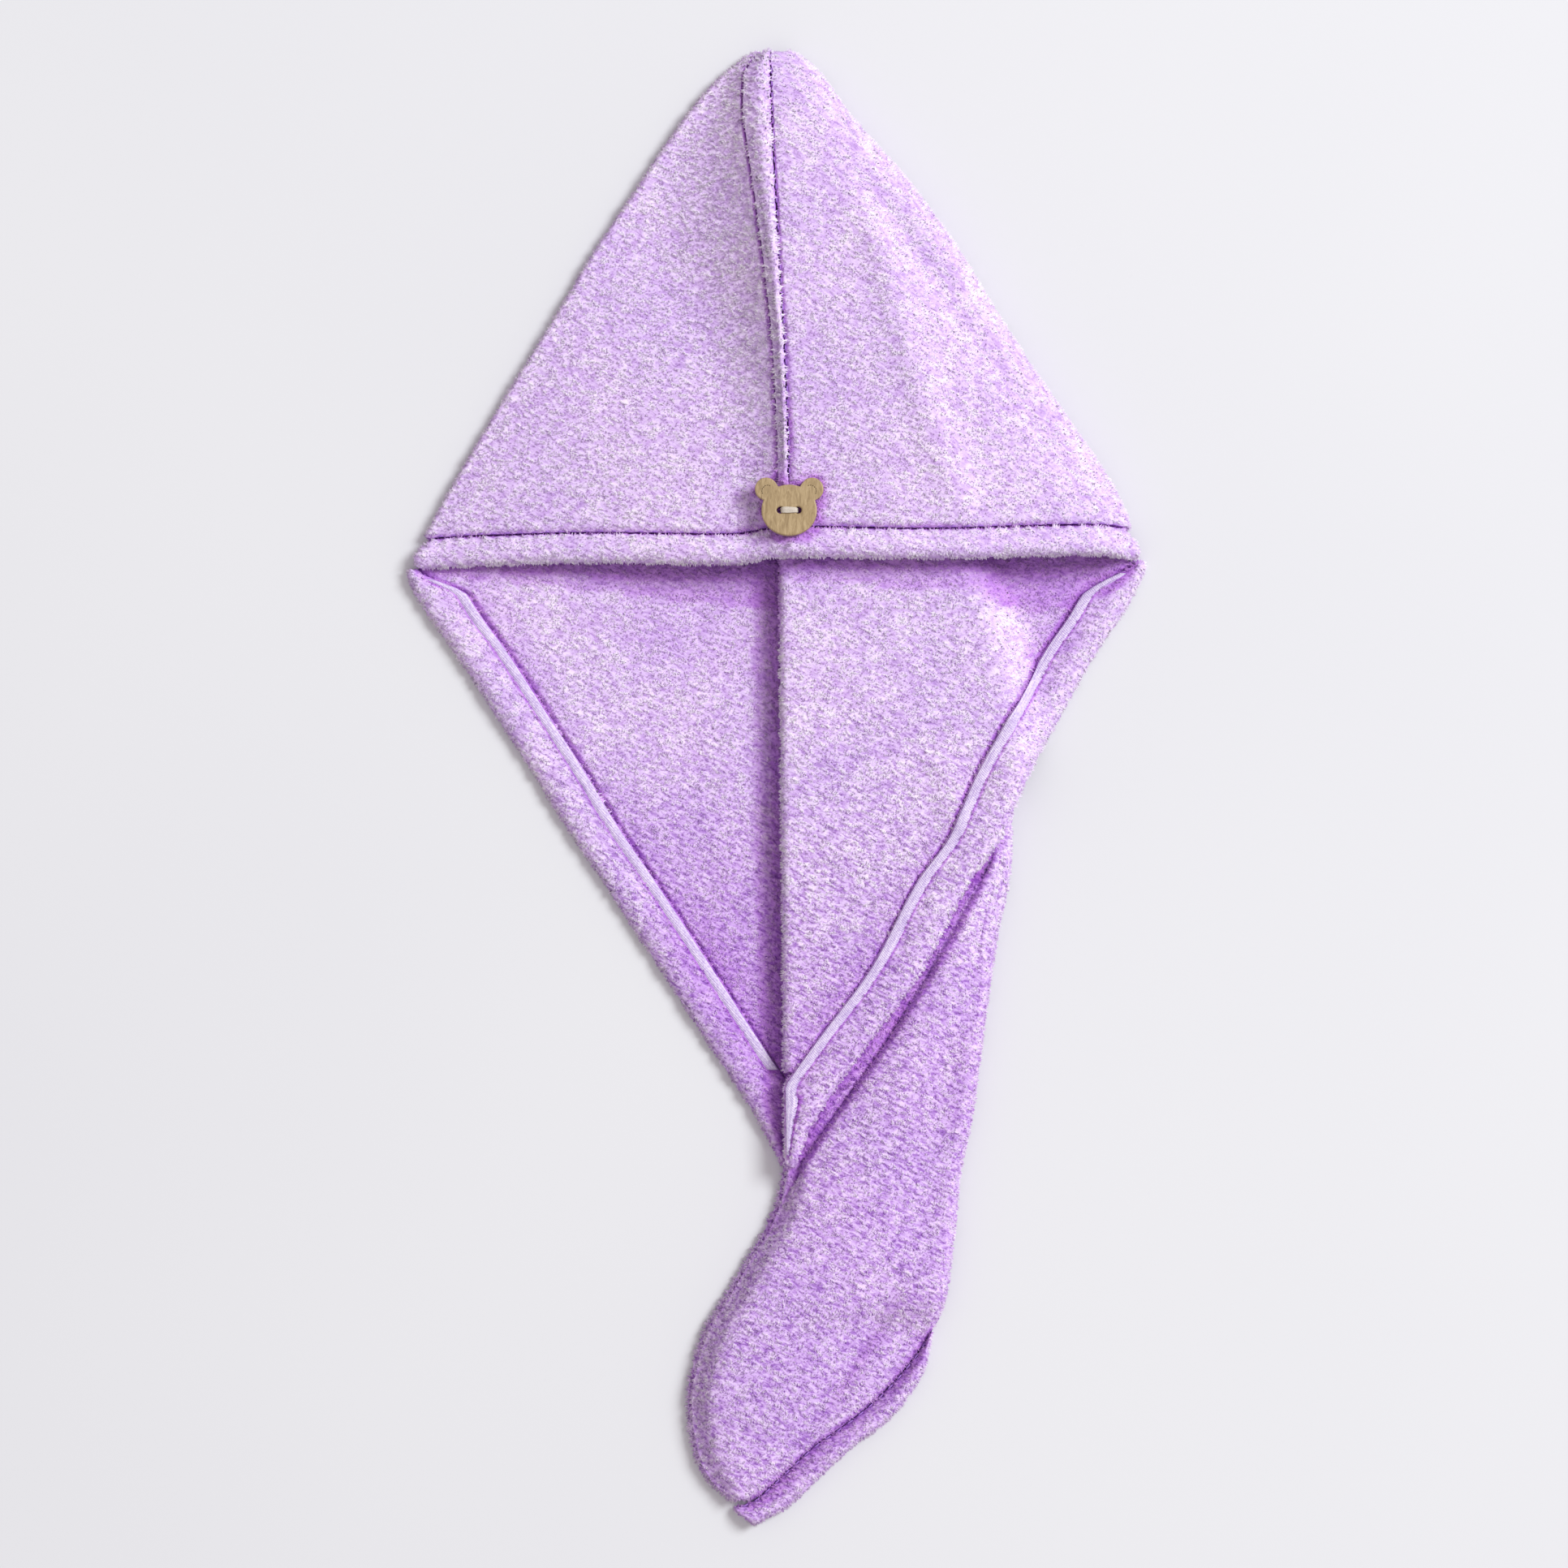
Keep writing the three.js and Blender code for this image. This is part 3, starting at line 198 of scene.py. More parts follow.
def ease(v):
    v = clamp01(v)
    return v * v * (3 - 2 * v)


def curve(rows, column, size=1.0):
    """A smooth curve through one column of a table, with no overshoot between its rows."""
    at = np.array([r[0] for r in rows], float)
    value = np.array([r[column] for r in rows], float) * size
    slope = np.diff(value) / np.diff(at)
    tangent = np.zeros(len(at))
    tangent[0], tangent[-1] = slope[0], slope[-1]
    both = slope[:-1] * slope[1:]
    total = slope[:-1] + slope[1:]
    tangent[1:-1] = np.where(both > 0, 2 * both / np.where(total == 0, 1, total), 0)

    def read(where):
        inside = np.clip(where, at[0], at[-1])
        k = np.clip(np.searchsorted(at, inside, side="right") - 1, 0, len(at) - 2)
        span = at[k + 1] - at[k]
        t = (inside - at[k]) / span
        return (
            value[k] * (2 * t**3 - 3 * t**2 + 1)
            + tangent[k] * span * (t**3 - 2 * t**2 + t)
            + value[k + 1] * (3 * t**2 - 2 * t**3)
            + tangent[k + 1] * span * (t**3 - t**2)
        )

    return read


def curves(rows, *sizes):
    return [curve(rows, column, size) for column, size in enumerate(sizes, 1)]


outer_left, outer_right = curves(OUTLINE, HALF, HALF)
crown_seam, crown_seam_full, flank_share, flank_reach = curves(CROWN_SEAM_LINE, HALF, CROWN_SEAM_WIDTH, 1, 1)
pleat_fold, pleat_spine = curves(PLEAT_LINES, HALF, HALF)
tail_left, tail_spine = curves(TAIL_LINES, HALF, HALF)
crown_top, pleat_top, tail_top = curves(HEIGHTS, CROWN_HEIGHT, PLEAT_HEIGHT, TAIL_HEIGHT)
crest_at = curve(CREST_LINE, 1, HALF)
edge_drop = curve(FRONT_EDGE, 1, HEM_WIDTH)
end_hem_x = curve(END_HEM_LINE, 1, HALF)


def relief(sheet, station, x):
    total = 0.0
    for name, s0, x0, s1, x1, rise, width in RELIEFS:
        if name == sheet:
            along = (station - s0) / (s1 - s0)
            away = (x - mix(x0, x1, along) * HALF) / (width * HOOD_WIDTH)
            fade = ease(along * FOLD_ENDS) * ease((1 - along) * FOLD_ENDS)
            total = total + rise * CLOTH * fade * np.exp(-(away**2))
    return total


def y_at(station):
    down = (
        np.minimum(station, 1) * HOOD_LENGTH
        + clamp01(station - 1) * MOUTH_LENGTH
        + clamp01(station - 2) * TAIL_LENGTH
    )
    return TOTAL / 2 - down


def spine(station):
    return (pleat_spine(station) if station < V_POINT else tail_spine(station)) - INSET


def edge(side, station):
    return outer_left(station) + INSET if side < 0 else outer_right(station) - INSET


def crown_seam_span(station):
    return min(crown_seam_full(station), (crown_seam(station) - edge(-1, station)) * WIDEST_SEAM)


HEM_SLOPE = math.atan2(MOUTH_LENGTH, HALF)


def hem_inner(side, station):
    grown = ease((station - 1) / (CORNER_END - 1))
    run = (HEM_WIDTH + TAPE_WIDTH) / math.sin(HEM_SLOPE) * grown
    plain = edge(side, station) - side * (run + CLEARANCE + INSET * (1 - grown))
    limit = pleat_fold(station) + LAYER / 2
    return min(plain, limit) if side < 0 else max(plain, limit - LAYER)


def back_height(station, x):
    lift = ease((station - PLEAT_START + PLEAT_LIFT) / PLEAT_LIFT)
    top = max(pleat_top(station), FLOOR_MIDDLE + 2 * LAYER)
    over = 1 - ease((x - spine(station) - 2 * CLOTH) / PLEAT_SHOULDER)
    return mix(FLOOR_MIDDLE, top + relief("back", station, x), lift * over)


def lean_of(slope):
    return abs(slope) / math.hypot(1, slope) * CLOTH / 2


def rim_lean(station):
    x = hem_inner(1, station)
    return lean_of(back_height(station, x + 0.5) - back_height(station, x - 0.5))


def hem_inner_edge(side, station):
    return hem_inner(side, station) + side * (CLEARANCE + (rim_lean(station) if side > 0 else 0))


def under_height(station):
    return max(pleat_top(station), FLOOR_MIDDLE + 2 * LAYER) - LAYER


def side_radius(station):
    return min(FOLD_RADIUS, (crown_top(station) - FLOOR_MIDDLE) / 2)


def front_height(station, x):
    x = np.asarray(x, float)
    seam = crown_seam(station)
    left = x < seam
    fold = np.where(left, edge(-1, station), edge(1, station))
    end = np.where(left, seam - crown_seam_span(station), seam)
    share = clamp01((x - fold) / (end - fold))
    low = FLOOR_MIDDLE + side_radius(station)
    folds = relief("front", station, x) * clamp01(share * WALL_ENDS)
    plane = 1 - (1 - share) ** PLANE_ROUNDNESS
    climb = clamp01((share - 1) / flank_reach(station) + 1) ** FLANK_HOLLOW
    flank = mix(low, crown_top(station) - CROWN_SEAM_STEP, mix(plane, climb, flank_share(station)))
    dome = (1 - (1 - share) ** DOME_ROUNDNESS) ** (1 / DOME_ROUNDNESS)
    plain = np.where(left, flank, mix(low, crown_top(station), dome)) + folds
    resting = back_height(station, x) + LAYER + CLEARANCE
    held = mix(plain, np.maximum(plain, resting), clamp01(share * REST_ENDS))
    return np.where(left, plain, held)


def spine_height(station):
    shoulder = tail_top(station) * TAIL_SHOULDER
    in_tail = mix(under_height(station), shoulder, ease((station - TAIL_RISE) / SHOULDER_SPAN))
    closed = ease((station - END_HEM_LINE[0][0] + END_CLOSING) / END_CLOSING)
    return mix(in_tail, FLOOR_MIDDLE + LAYER, closed)


# Paths of the cloth's middle at a station: arrays of x and z.
def front_start(side, station):
    seam = crown_seam(station)
    if side > 0:
        return seam + CLEARANCE
    end = seam - crown_seam_span(station)
    slope = float(front_height(station, end) - front_height(station, end - 1))
    return end - 2 * CLEARANCE - lean_of(slope)


def front_path(side, station, count):
    start = front_start(side, station)
    x = mix(start, edge(side, station), np.sin(np.linspace(0, 1, count + 1) * math.pi / 2))
    return x, front_height(station, x)


def quarter(x0, z0, x1, z1, count):
    angle = np.linspace(0, math.pi / 2, count + 1)[1:]
    return mix(x0, x1, np.sin(angle)), mix(z0, z1, 1 - np.cos(angle))


def fold_path(side, station, count):
    radius = side_radius(station)
    fold = edge(side, station)
    x, z = quarter(fold - side * radius, FLOOR_MIDDLE, fold, FLOOR_MIDDLE + radius, count)
    return x[::-1][1:], z[::-1][1:]


def floor_start(side, station):
    if station <= STITCH:
        return edge(side, station) - side * side_radius(station)
    if station >= V_POINT:
        return tail_left(station) + INSET + TAIL_SEAM_WIDTH
    return hem_inner(side, station)


def joined(*paths):
    return np.concatenate([p[0] for p in paths]), np.concatenate([p[1] for p in paths])


def floor_path(station, count, arc):
    rise = (spine_height(station) - FLOOR_MIDDLE) / 2
    start = floor_start(-1, station)
    bend = min(rise, (spine(station) - start) * SHARPEST_BEND)
    end = spine(station) - bend
    x = np.linspace(start, end, count + 1)
    tip = FLOOR_MIDDLE + rise - CLEARANCE / 2
    return joined((x, np.full_like(x, FLOOR_MIDDLE)), quarter(end, FLOOR_MIDDLE, spine(station), tip, arc))


def under_path(station, flat_count, crest_count, hump_count, arc):
    in_tail = station >= V_POINT
    level = under_height(station)
    start = pleat_fold(station) + LAYER / 2
    if in_tail:
        level = mix(under_height(V_POINT), FLOOR_MIDDLE + LAYER, ease((station - V_POINT) / LEVEL_SPAN))
        start = tail_left(station) + INSET + TAIL_SEAM_SHOWN
    rise = (spine_height(station) - FLOOR_MIDDLE) / 2
    bend = min(rise, (spine(station) - start) * SHARPEST_BEND)
    arc_x, arc_z = spine(station) - bend, FLOOR_MIDDLE + 2 * rise
    lifted = ease((station - TAIL_RISE) / RISE_SPAN)
    freed = ease((station - V_POINT) / FREE_SPAN)
    beside = outer_right(min(station, V_POINT)) + CREST_SIDE * CLOTH
    crest = min(max(crest_at(station), beside), arc_x - CREST_WIDTH / 2)
    foot = mix(crest, start + CREST_WIDTH / 2, freed)
    brow = min(foot + mix(1, 2, freed) * CREST_WIDTH, mix(foot, arc_x, WIDEST_BROW))
    x = np.concatenate([
        np.linspace(start, foot, flat_count, endpoint=False),
        np.linspace(foot, brow, crest_count, endpoint=False),
        np.linspace(brow, arc_x, hump_count + 1),
    ])
    share = clamp01((x - foot) / (arc_x - foot))
    crown = tail_top(station) * (CREST_LOW + CREST_SWELL * share * (1 - share))
    folds = relief("tail", station, x) * clamp01(FOLD_ENDS * share) * clamp01(FOLD_ENDS * (1 - share))
    body = mix(crown, arc_z, share**2) + folds
    begin = mix(foot, start, freed)
    wide = (brow - foot) * mix(1, 1.5, freed)
    z = mix(level, np.maximum(level, body), ease((x - begin) / wide) * lifted)
    end = FLOOR_MIDDLE + rise + CLEARANCE / 2
    return joined((x, z), quarter(arc_x, arc_z, spine(station), end, arc))


def over_path(station, count):
    start = floor_start(1, station)
    started = station >= PLEAT_START
    end = pleat_fold(station) + LAYER / 2 if started else spine(station) + 2 * CLEARANCE + CLOTH
    x = np.linspace(start, end, count + 1)
    return x, back_height(station, x)


def turn_path(station, count):
    radius = LAYER / 2
    cx, cz = pleat_fold(station) + radius, under_height(station) + radius
    angle = np.linspace(0, math.pi, count + 1)[1:-1]
    return cx - radius * np.sin(angle), cz + radius * np.cos(angle)


def placed(path, station):
    x, z = path
    before = ease((station - EDGE_WAVE) / (STITCH - EDGE_WAVE))
    after = 1 - ease((station - 1) / (CORNER_END - 1))
    y = y_at(station) - edge_drop(x / HALF) * min(before, after)
    return np.stack([x, y, z], axis=-1)


# meshes, from millimetres
def linked(name, data):
    obj = bpy.data.objects.new(name, data)
    scene.collection.objects.link(obj)
    return obj


def object_from(name, verts, faces, material):
    """A smooth mesh; a face that names a corner twice in a row has it once."""
    once = np.ones(faces.shape, bool)
    once[:, 1:] = faces[:, 1:] != faces[:, :-1]
    corners = faces[once].astype(np.int32)
    sizes = once.sum(axis=1)
    mesh = bpy.data.meshes.new(name)
    mesh.vertices.add(len(verts))
    mesh.vertices.foreach_set("co", (verts * MM).astype(np.float32).ravel())
    mesh.loops.add(len(corners))
    mesh.loops.foreach_set("vertex_index", corners)
    mesh.polygons.add(len(faces))
    mesh.polygons.foreach_set("loop_start", (np.cumsum(sizes) - sizes).astype(np.int32))
    mesh.update(calc_edges=True)
    mesh.polygons.foreach_set("use_smooth", [True] * len(faces))
    mesh.materials.append(material)
    return linked(name, mesh)


def set_attributes(obj, **attributes):
    for name, values in attributes.items():
        kind, key = ("FLOAT_VECTOR", "vector") if np.ndim(values) == 2 else ("FLOAT", "value")
        layer = obj.data.attributes.new(name, kind, "POINT")
        layer.data.foreach_set(key, np.asarray(values, np.float32).ravel())


def unit(v):
    return v / np.maximum(np.linalg.norm(v, axis=-1, keepdims=True), 1e-12)


def outward(verts, faces):
    """The faces, turned over if together they enclose less than nothing."""
    a = verts[faces[:, 0]]
    volume = 0.0
    for k in range(1, faces.shape[1] - 1):
        volume += np.einsum("ij,ij->i", a, np.cross(verts[faces[:, k]], verts[faces[:, k + 1]])).sum()
    return faces[:, ::-1] if volume < 0 else faces


def vertex_normals(verts, faces):
    normal = np.zeros_like(verts)
    corners = [verts[faces[:, k]] for k in range(faces.shape[1])]
    flat = np.cross(corners[2] - corners[0], corners[-1] - corners[1])
    for k in range(faces.shape[1]):
        np.add.at(normal, faces[:, k], flat)
    return unit(normal)


def cloth_sheet(rows):
    """A closed sheet of cloth from rows of mid-surface points; a row holds NaN where it has none."""
    p = np.stack(rows)
    height, width = p.shape[:2]
    has = ~np.isnan(p[..., 0])
    cell = np.zeros((height + 1, width + 1), bool)
    cell[1:-1, 1:-1] = has[:-1, :-1] & has[:-1, 1:] & has[1:, :-1] & has[1:, 1:]
    here = np.nan_to_num(p)
    padded = np.pad(here, ((1, 1), (1, 1), (0, 0)), mode="edge")
    after, before = padded[1:-1, 2:], padded[1:-1, :-2]
    below, above = padded[2:, 1:-1], padded[:-2, 1:-1]
    upper_left, upper_right = cell[:-1, :-1], cell[:-1, 1:]
    lower_left, lower_right = cell[1:, :-1], cell[1:, 1:]
    across = unit(after - here) * (lower_right | upper_right)[..., None]
    across = across + unit(here - before) * (lower_left | upper_left)[..., None]
    along = np.where((lower_right | lower_left)[..., None], below, here) - np.where(
        (upper_right | upper_left)[..., None], above, here
    )
    normal = unit(np.cross(unit(along), unit(across)))
    used = upper_left | upper_right | lower_left | lower_right
    number = np.full(used.shape, -1)
    number[used] = np.arange(used.sum())
    count = int(used.sum())
    verts = np.concatenate([(here + normal * CLOTH / 2)[used], (here - normal * CLOTH / 2)[used]])
    inner = cell[1:-1, 1:-1]
    a, b = number[:-1, :-1], number[:-1, 1:]
    c, d = number[1:, 1:], number[1:, :-1]
    top = np.stack([a, b, c, d], axis=-1)
    faces = [top[inner], top[inner][:, ::-1] + count]
    for open_side, start, end in (
        (~cell[:-2, 1:-1], a, b), (~cell[1:-1, 2:], b, c), (~cell[2:, 1:-1], c, d), (~cell[1:-1, :-2], d, a)
    ):
        rim = inner & open_side
        faces.append(np.stack([end[rim], start[rim], start[rim] + count, end[rim] + count], axis=-1))
    faces = np.concatenate(faces)
    return verts, outward(verts, faces)


def tube(sections):
    """A closed solid lofted through sections with the same number of points, closed by a fan at each end."""
    s = np.stack(sections)
    count, around = s.shape[:2]
    verts = np.concatenate([s.reshape(-1, 3), s[:1].mean(axis=1), s[-1:].mean(axis=1)])
    i, j = np.meshgrid(np.arange(count - 1), np.arange(around), indexing="ij")
    nxt = (j + 1) % around
    a, b = i * around + j, i * around + nxt
    quads = np.stack([a, b, b + around, a + around], axis=-1).reshape(-1, 4)
    ring = np.arange(around)
    after = (ring + 1) % around
    base = (count - 1) * around
    first, last = (np.full(around, count * around + k) for k in (0, 1))
    caps = [np.stack([after, ring, first, first], axis=-1)]
    caps.append(np.stack([base + ring, base + after, last, last], axis=-1))
    return verts, outward(verts, np.concatenate([quads, *caps]))


def face_list(faces):
    return [tuple(dict.fromkeys(f)) for f in faces.tolist()]


def merged(meshes):
    verts, faces, start = [], [], 0
    for v, f in meshes:
        verts.append(v)
        faces.append(f + start)
        start += len(v)
    return np.concatenate(verts), np.concatenate(faces)


def value_noise(p, size, seed):
    """Smooth noise from -1 to 1 at points, with features about size across."""
    q = p / size + 17.3 * seed
    whole = np.floor(q).astype(np.int64)
    f = q - whole
    f = f * f * (3 - 2 * f)
    total = np.zeros(len(p))
    for corner in range(8):
        bits = np.array([corner & 1, corner >> 1 & 1, corner >> 2 & 1])
        n = (whole + bits) @ np.array([73856093, 19349663, 83492791]) + seed * 1013
        n = (n ^ (n >> 13)) * 1274126177 & 0x7FFFFFFF
        n = (n ^ (n >> 16)) * 60493 & 0x7FFFFFFF
        share = np.where(bits == 1, f, 1 - f).prod(axis=1)
        total += share * (n / 0x3FFFFFFF - 1)
    return total


# rows of the cloth, and points across it
ROW_PITCH = 2.1
FIRST, LAST = 0.006, 2.92
HOOD_ROWS, HOOD_CROWDING = 92, 1.25
BESIDE = 0.003  # rows lie this far from the front hem's edge and from the V
FRONT, FOLD, FLOOR, OVER, TURN, ARC = 70, 8, 58, 40, 8, 9
FLAT, CREST, HUMP = 12, 9, 30


def stations_between(start, end):
    length = abs(y_at(end) - y_at(start))
    return np.linspace(start, end, max(2, round(length / ROW_PITCH)), endpoint=False)


hood_rows = FIRST + (STITCH - FIRST) * np.linspace(0, 1, HOOD_ROWS) ** HOOD_CROWDING
stations = np.concatenate([
    hood_rows, [0.955, 0.97, 0.986], stations_between(1 + BESIDE, TOP_END),
    stations_between(TOP_END, V_POINT - BESIDE), [V_POINT - BESIDE],
    stations_between(V_POINT + BESIDE, LAST), [LAST],
])


def missing(count):
    return np.full((count, 3), np.nan)


def front_row(side, s):
    """The front wall and its side fold, which end at the stitches of the front hem."""
    if s > STITCH + NEARLY:
        return [missing(FRONT + FOLD)]
    return [placed(front_path(side, s, FRONT), s), placed(fold_path(side, s, FOLD), s)]


def left_panel():
    return cloth_sheet([
        np.concatenate([*front_row(-1, s), placed(floor_path(s, FLOOR, ARC), s)]) for s in stations
    ])


def right_panel():
    rows = []
    for s in stations:
        over, under = s <= TOP_END + NEARLY, s >= PLEAT_START
        under_points = FLAT + CREST + HUMP + 1 + ARC
        rows.append(np.concatenate([
            *front_row(1, s),
            placed(over_path(s, OVER), s) if over else missing(OVER + 1),
            placed(turn_path(s, TURN), s) if over and under else missing(TURN - 1),
            placed(under_path(s, FLAT, CREST, HUMP, ARC), s) if under else missing(under_points),
        ]))
    return cloth_sheet(rows)


# hems
HEM_SECTION = [  # shares of the width from the outer edge inwards, and of the thickness
    (0.06, 0.06), (0.2, 0.0), (0.35, 0.0), (0.5, 0.0), (0.65, 0.0), (0.8, 0.0), (0.97, 0.0), (1.0, 0.4),
    (0.96, 0.72), (0.7, 0.82), (0.4, 1.0), (0.12, 0.9), (0.0, 0.45),
]


def rounded(points, between):
    """A closed Catmull-Rom curve through a closed section."""
    p = np.array(points, float)
    a, b, c, d = (np.roll(p, k, axis=0)[:, None, :] for k in (1, 0, -1, -2))
    t = (np.arange(between) / between)[None, :, None]
    out = 0.5 * (2 * b + (c - a) * t + (2 * a - 5 * b + 4 * c - d) * t**2 + (3 * b - a - 3 * c + d) * t**3)
    out = out.reshape(-1, 2)
    out[:, 1] = np.maximum(out[:, 1], 0)
    return out


hem_round = rounded(HEM_SECTION, 2)
hem_top_rows = sorted(row for row in HEM_SECTION if row[1] >= 0.4 and row[0] < 1)
hem_top_share = curve(hem_top_rows, 1)

STITCH_PITCH = 5.0
STITCH_PULL = 0.9
PULL_START = 0.72  # share of a hem's width
FRONT_STEPS = 250
END_SHARE = 0.12  # of a quarter turn, by which the front hem's section has grown at its two ends
END_GROWTH = 10


def stitch_wave(length):
    """From 1 at a stitch to 0 halfway between two."""
    return 0.5 + 0.5 * np.cos(length * 2 * np.pi / STITCH_PITCH)


def stitch_pull(length, across):
    """How far a hem is drawn down beside its row of stitches."""
    return STITCH_PULL * ease((across - PULL_START) / (1 - PULL_START)) * stitch_wave(length)


def front_hem():
    sections = []
    for i in range(FRONT_STEPS + 1):
        share = (1 - math.cos(i / FRONT_STEPS * math.pi)) / 2
        from_end = min(i, FRONT_STEPS - i) / FRONT_STEPS
        at_end = math.sin(min(1, END_SHARE + END_GROWTH * from_end) * math.pi / 2)
        ring = []
        for across, rise in hem_round:
            inset = mix(0.5, across, at_end)
            station = mix(1, STITCH, inset)
            x = mix(edge(-1, station), edge(1, station), share)
            middle = front_hem_middle(x)
            y = y_at(1) - edge_drop(x / HALF) + (HEM_WIDTH - 2 * CLEARANCE) * inset
            pull = stitch_pull(x, across) * (rise > 0.5)
            ring.append((x, y, middle + (HEM_THICKNESS * (rise - 0.5) - pull) * at_end))
        sections.append(np.array(ring))
    return tube(sections)


def front_hem_middle(x):
    on_floor = CLOTH + CLEARANCE + HEM_THICKNESS / 2
    on_back = back_height(1, x) - FLOOR_MIDDLE + on_floor if x > pleat_fold(1) else on_floor
    return max(float(front_height(STITCH, x)) + HEM_RAISE, on_back)


mouth_rows = [s for s in stations if 1 < s < V_POINT]


def hem_underside(side, station, x):
    return 0 if side < 0 else back_height(station, x) - CLOTH / 2


def mouth_hem(side):
    sections = []
    for s in mouth_rows:
        outer = edge(side, s) + side * CLOTH / 2
        x = mix(outer, hem_inner_edge(side, s), hem_round[:, 0])
        z = hem_underside(side, s, x) + hem_round[:, 1] * HEM_THICKNESS
        sections.append(placed((x, z), s))
    return tube(sections)


def hem_top(side, station, x):
    outer = edge(side, station) + side * CLOTH / 2
    share = clamp01((x - outer) / (hem_inner_edge(side, station) - outer))
    return HEM_THICKNESS * hem_top_share(share)


# a tape's section: shares of its width from the hem's inner edge outwards, and of its thickness; rounded()
# brings what is below 0 to the hem
TAPE_SHARES = rounded([
    (0.05, 0.1), (0.5, 0.0), (0.8, -0.5), (0.86, -0.3), (0.66, 0.7), (0.4, 0.95), (0.1, 0.85), (0, 0.5)
], 2)
TAPE_SINK = 0.25
TAPE_START = 1.02
TAPE_ENDS = {-1: TOP_END, 1: 1.985}  # the right one narrows along its hem to the point of the V
STREAKS_ACROSS, STREAKS_ALONG = 6.0, 0.12
STREAKS_APART = 40  # so that the two tapes have streaks of their own


def tape_rows(side):
    return [s for s in mouth_rows if TAPE_START < s <= TAPE_ENDS[side]]


def hem_tape(side):
    sections = []
    for s in tape_rows(side):
        inner = hem_inner_edge(side, s) + side * CLEARANCE
        wide = min(TAPE_WIDTH / math.sin(HEM_SLOPE), abs(edge(side, s) - inner) * WIDEST_TAPE)
        x = inner + side * wide * np.clip(TAPE_SHARES[:, 0], 0, 1)
        under = hem_underside(side, s, x) + hem_top(side, s, x) + CLEARANCE - TAPE_SINK
        sections.append(placed((x, under + TAPE_SHARES[:, 1] * TAPE_THICKNESS), s))
    return tube(sections)


def tape_run(side):
    """For each point of a tape, its place across and along it, for streaks that follow it."""
    count = len(tape_rows(side))
    across = np.tile(TAPE_SHARES[:, 0] * STREAKS_ACROSS, count)
    along = np.repeat(np.arange(count) * ROW_PITCH * STREAKS_ALONG, len(TAPE_SHARES))
    run = np.stack([across, along + side * STREAKS_APART, np.zeros_like(across)], axis=-1)
    return np.concatenate([run, run[:1], run[-1:]])


SEAM_LAP = 1.5
SEAM_STEPS, SEAM_CROWDING, SEAM_FIRST = 150, 1.3, 0.002
SEAM_ACROSS = np.array([0.1, 0.3, 0.5, 0.7, 0.88])  # shares of the width from the right side to the left
SEAM_ROUND = np.array([0, 0.55, 1.1, 1.1, 0.8])  # shares of the rise
SEAM_DRAWN = np.array([0.5, 0.5, 0.2, 0, 0])  # shares of the rise by which a stitch draws it down


def crown_seam_ridge():
    last = STITCH - 2 * CLEARANCE / HOOD_LENGTH
    brow = BUTTON_DOWN - FACE_HEIGHT / 2 / HOOD_LENGTH
    sections = []
    for i in range(SEAM_STEPS + 1):
        s = mix(SEAM_FIRST, last, (i / SEAM_STEPS) ** SEAM_CROWDING)
        right = crown_seam(s) - CLEARANCE / 2
        left = right - crown_seam_span(s) + 2 * CLEARANCE
        rise = CROWN_SEAM_RISE * ease((brow - s) / SEAM_SINKING)
        high = crown_top(s) + CLOTH / 2
        low = float(front_height(s, left)) - CLOTH / 2
        under = min(high - CLOTH, mix(low, high, 0.5))
        ridge = high + rise * (SEAM_ROUND - SEAM_DRAWN * stitch_wave(y_at(s)))
        lap = left - SEAM_LAP
        over = max(mix(low, high, 0.7), float(front_height(s, lap)) + CLOTH / 2 + CLEARANCE)
        x = [right, right, *mix(right, left, SEAM_ACROSS), lap, lap, left]
        z = [under, *ridge, mix(low, high, 0.93), max(over, mix(low, high, 0.75)), over, low]
        sections.append(placed((np.array(x), np.array(z)), s))
    return tube(sections)


def tail_seam():
    half = TAIL_SEAM_HEIGHT / 2
    sections = []
    for s in stations:
        if s > V_POINT:
            outer = tail_left(s) + PILE
            inner = outer + TAIL_SEAM_WIDTH
            share = np.array([1, 0.6, 0.3, 0.08, 0, 0.08, 0.3, 0.6, 1])
            z = np.array([CLEARANCE, CLEARANCE, CLEARANCE, half * 0.6, half, half * 1.4,
                          TAIL_SEAM_HEIGHT, TAIL_SEAM_HEIGHT, TAIL_SEAM_HEIGHT])
            sections.append(placed((mix(outer, inner, share), z), s))
    return tube(sections)


def run_along(line):
    """The way from a line's start to each of its points."""
    return np.concatenate([[0], np.cumsum(np.linalg.norm(np.diff(line, axis=0), axis=1))])


END_ROWS = [2.45, 2.52, 2.59, 2.65, 2.71, 2.77, 2.83, 2.88, 2.92]
END_STEPS = 110


def end_hem_lines(steps):
    """The end hem's inner line, at the stitches, and its outer line."""
    line = np.array([(spine(s), y_at(s)) for s in END_ROWS])
    padded = np.pad(line, ((1, 1), (0, 0)), mode="edge")
    ahead = padded[2:] - padded[:-2]
    away = unit(np.stack([-ahead[:, 1], ahead[:, 0]], axis=-1))
    inner = line + away * (CLOTH / 2 + CLEARANCE)
    final = END_HEM_LINE[-1][0]
    inner = np.concatenate([inner, [(tail_left(final), y_at(final - END_CORNER))]])
    count = len(inner) - 1
    place = np.linspace(0, count, steps + 1)
    rows = [(k, *inner[k]) for k in range(count + 1)]
    inner = np.stack([curve(rows, 1)(place), curve(rows, 2)(place)], axis=-1)
    down = mix(END_HEM_LINE[0][0], final, place / count)
    outer = np.stack([end_hem_x(down) - PILE, [y_at(s) for s in down]], axis=-1)
    return inner, outer


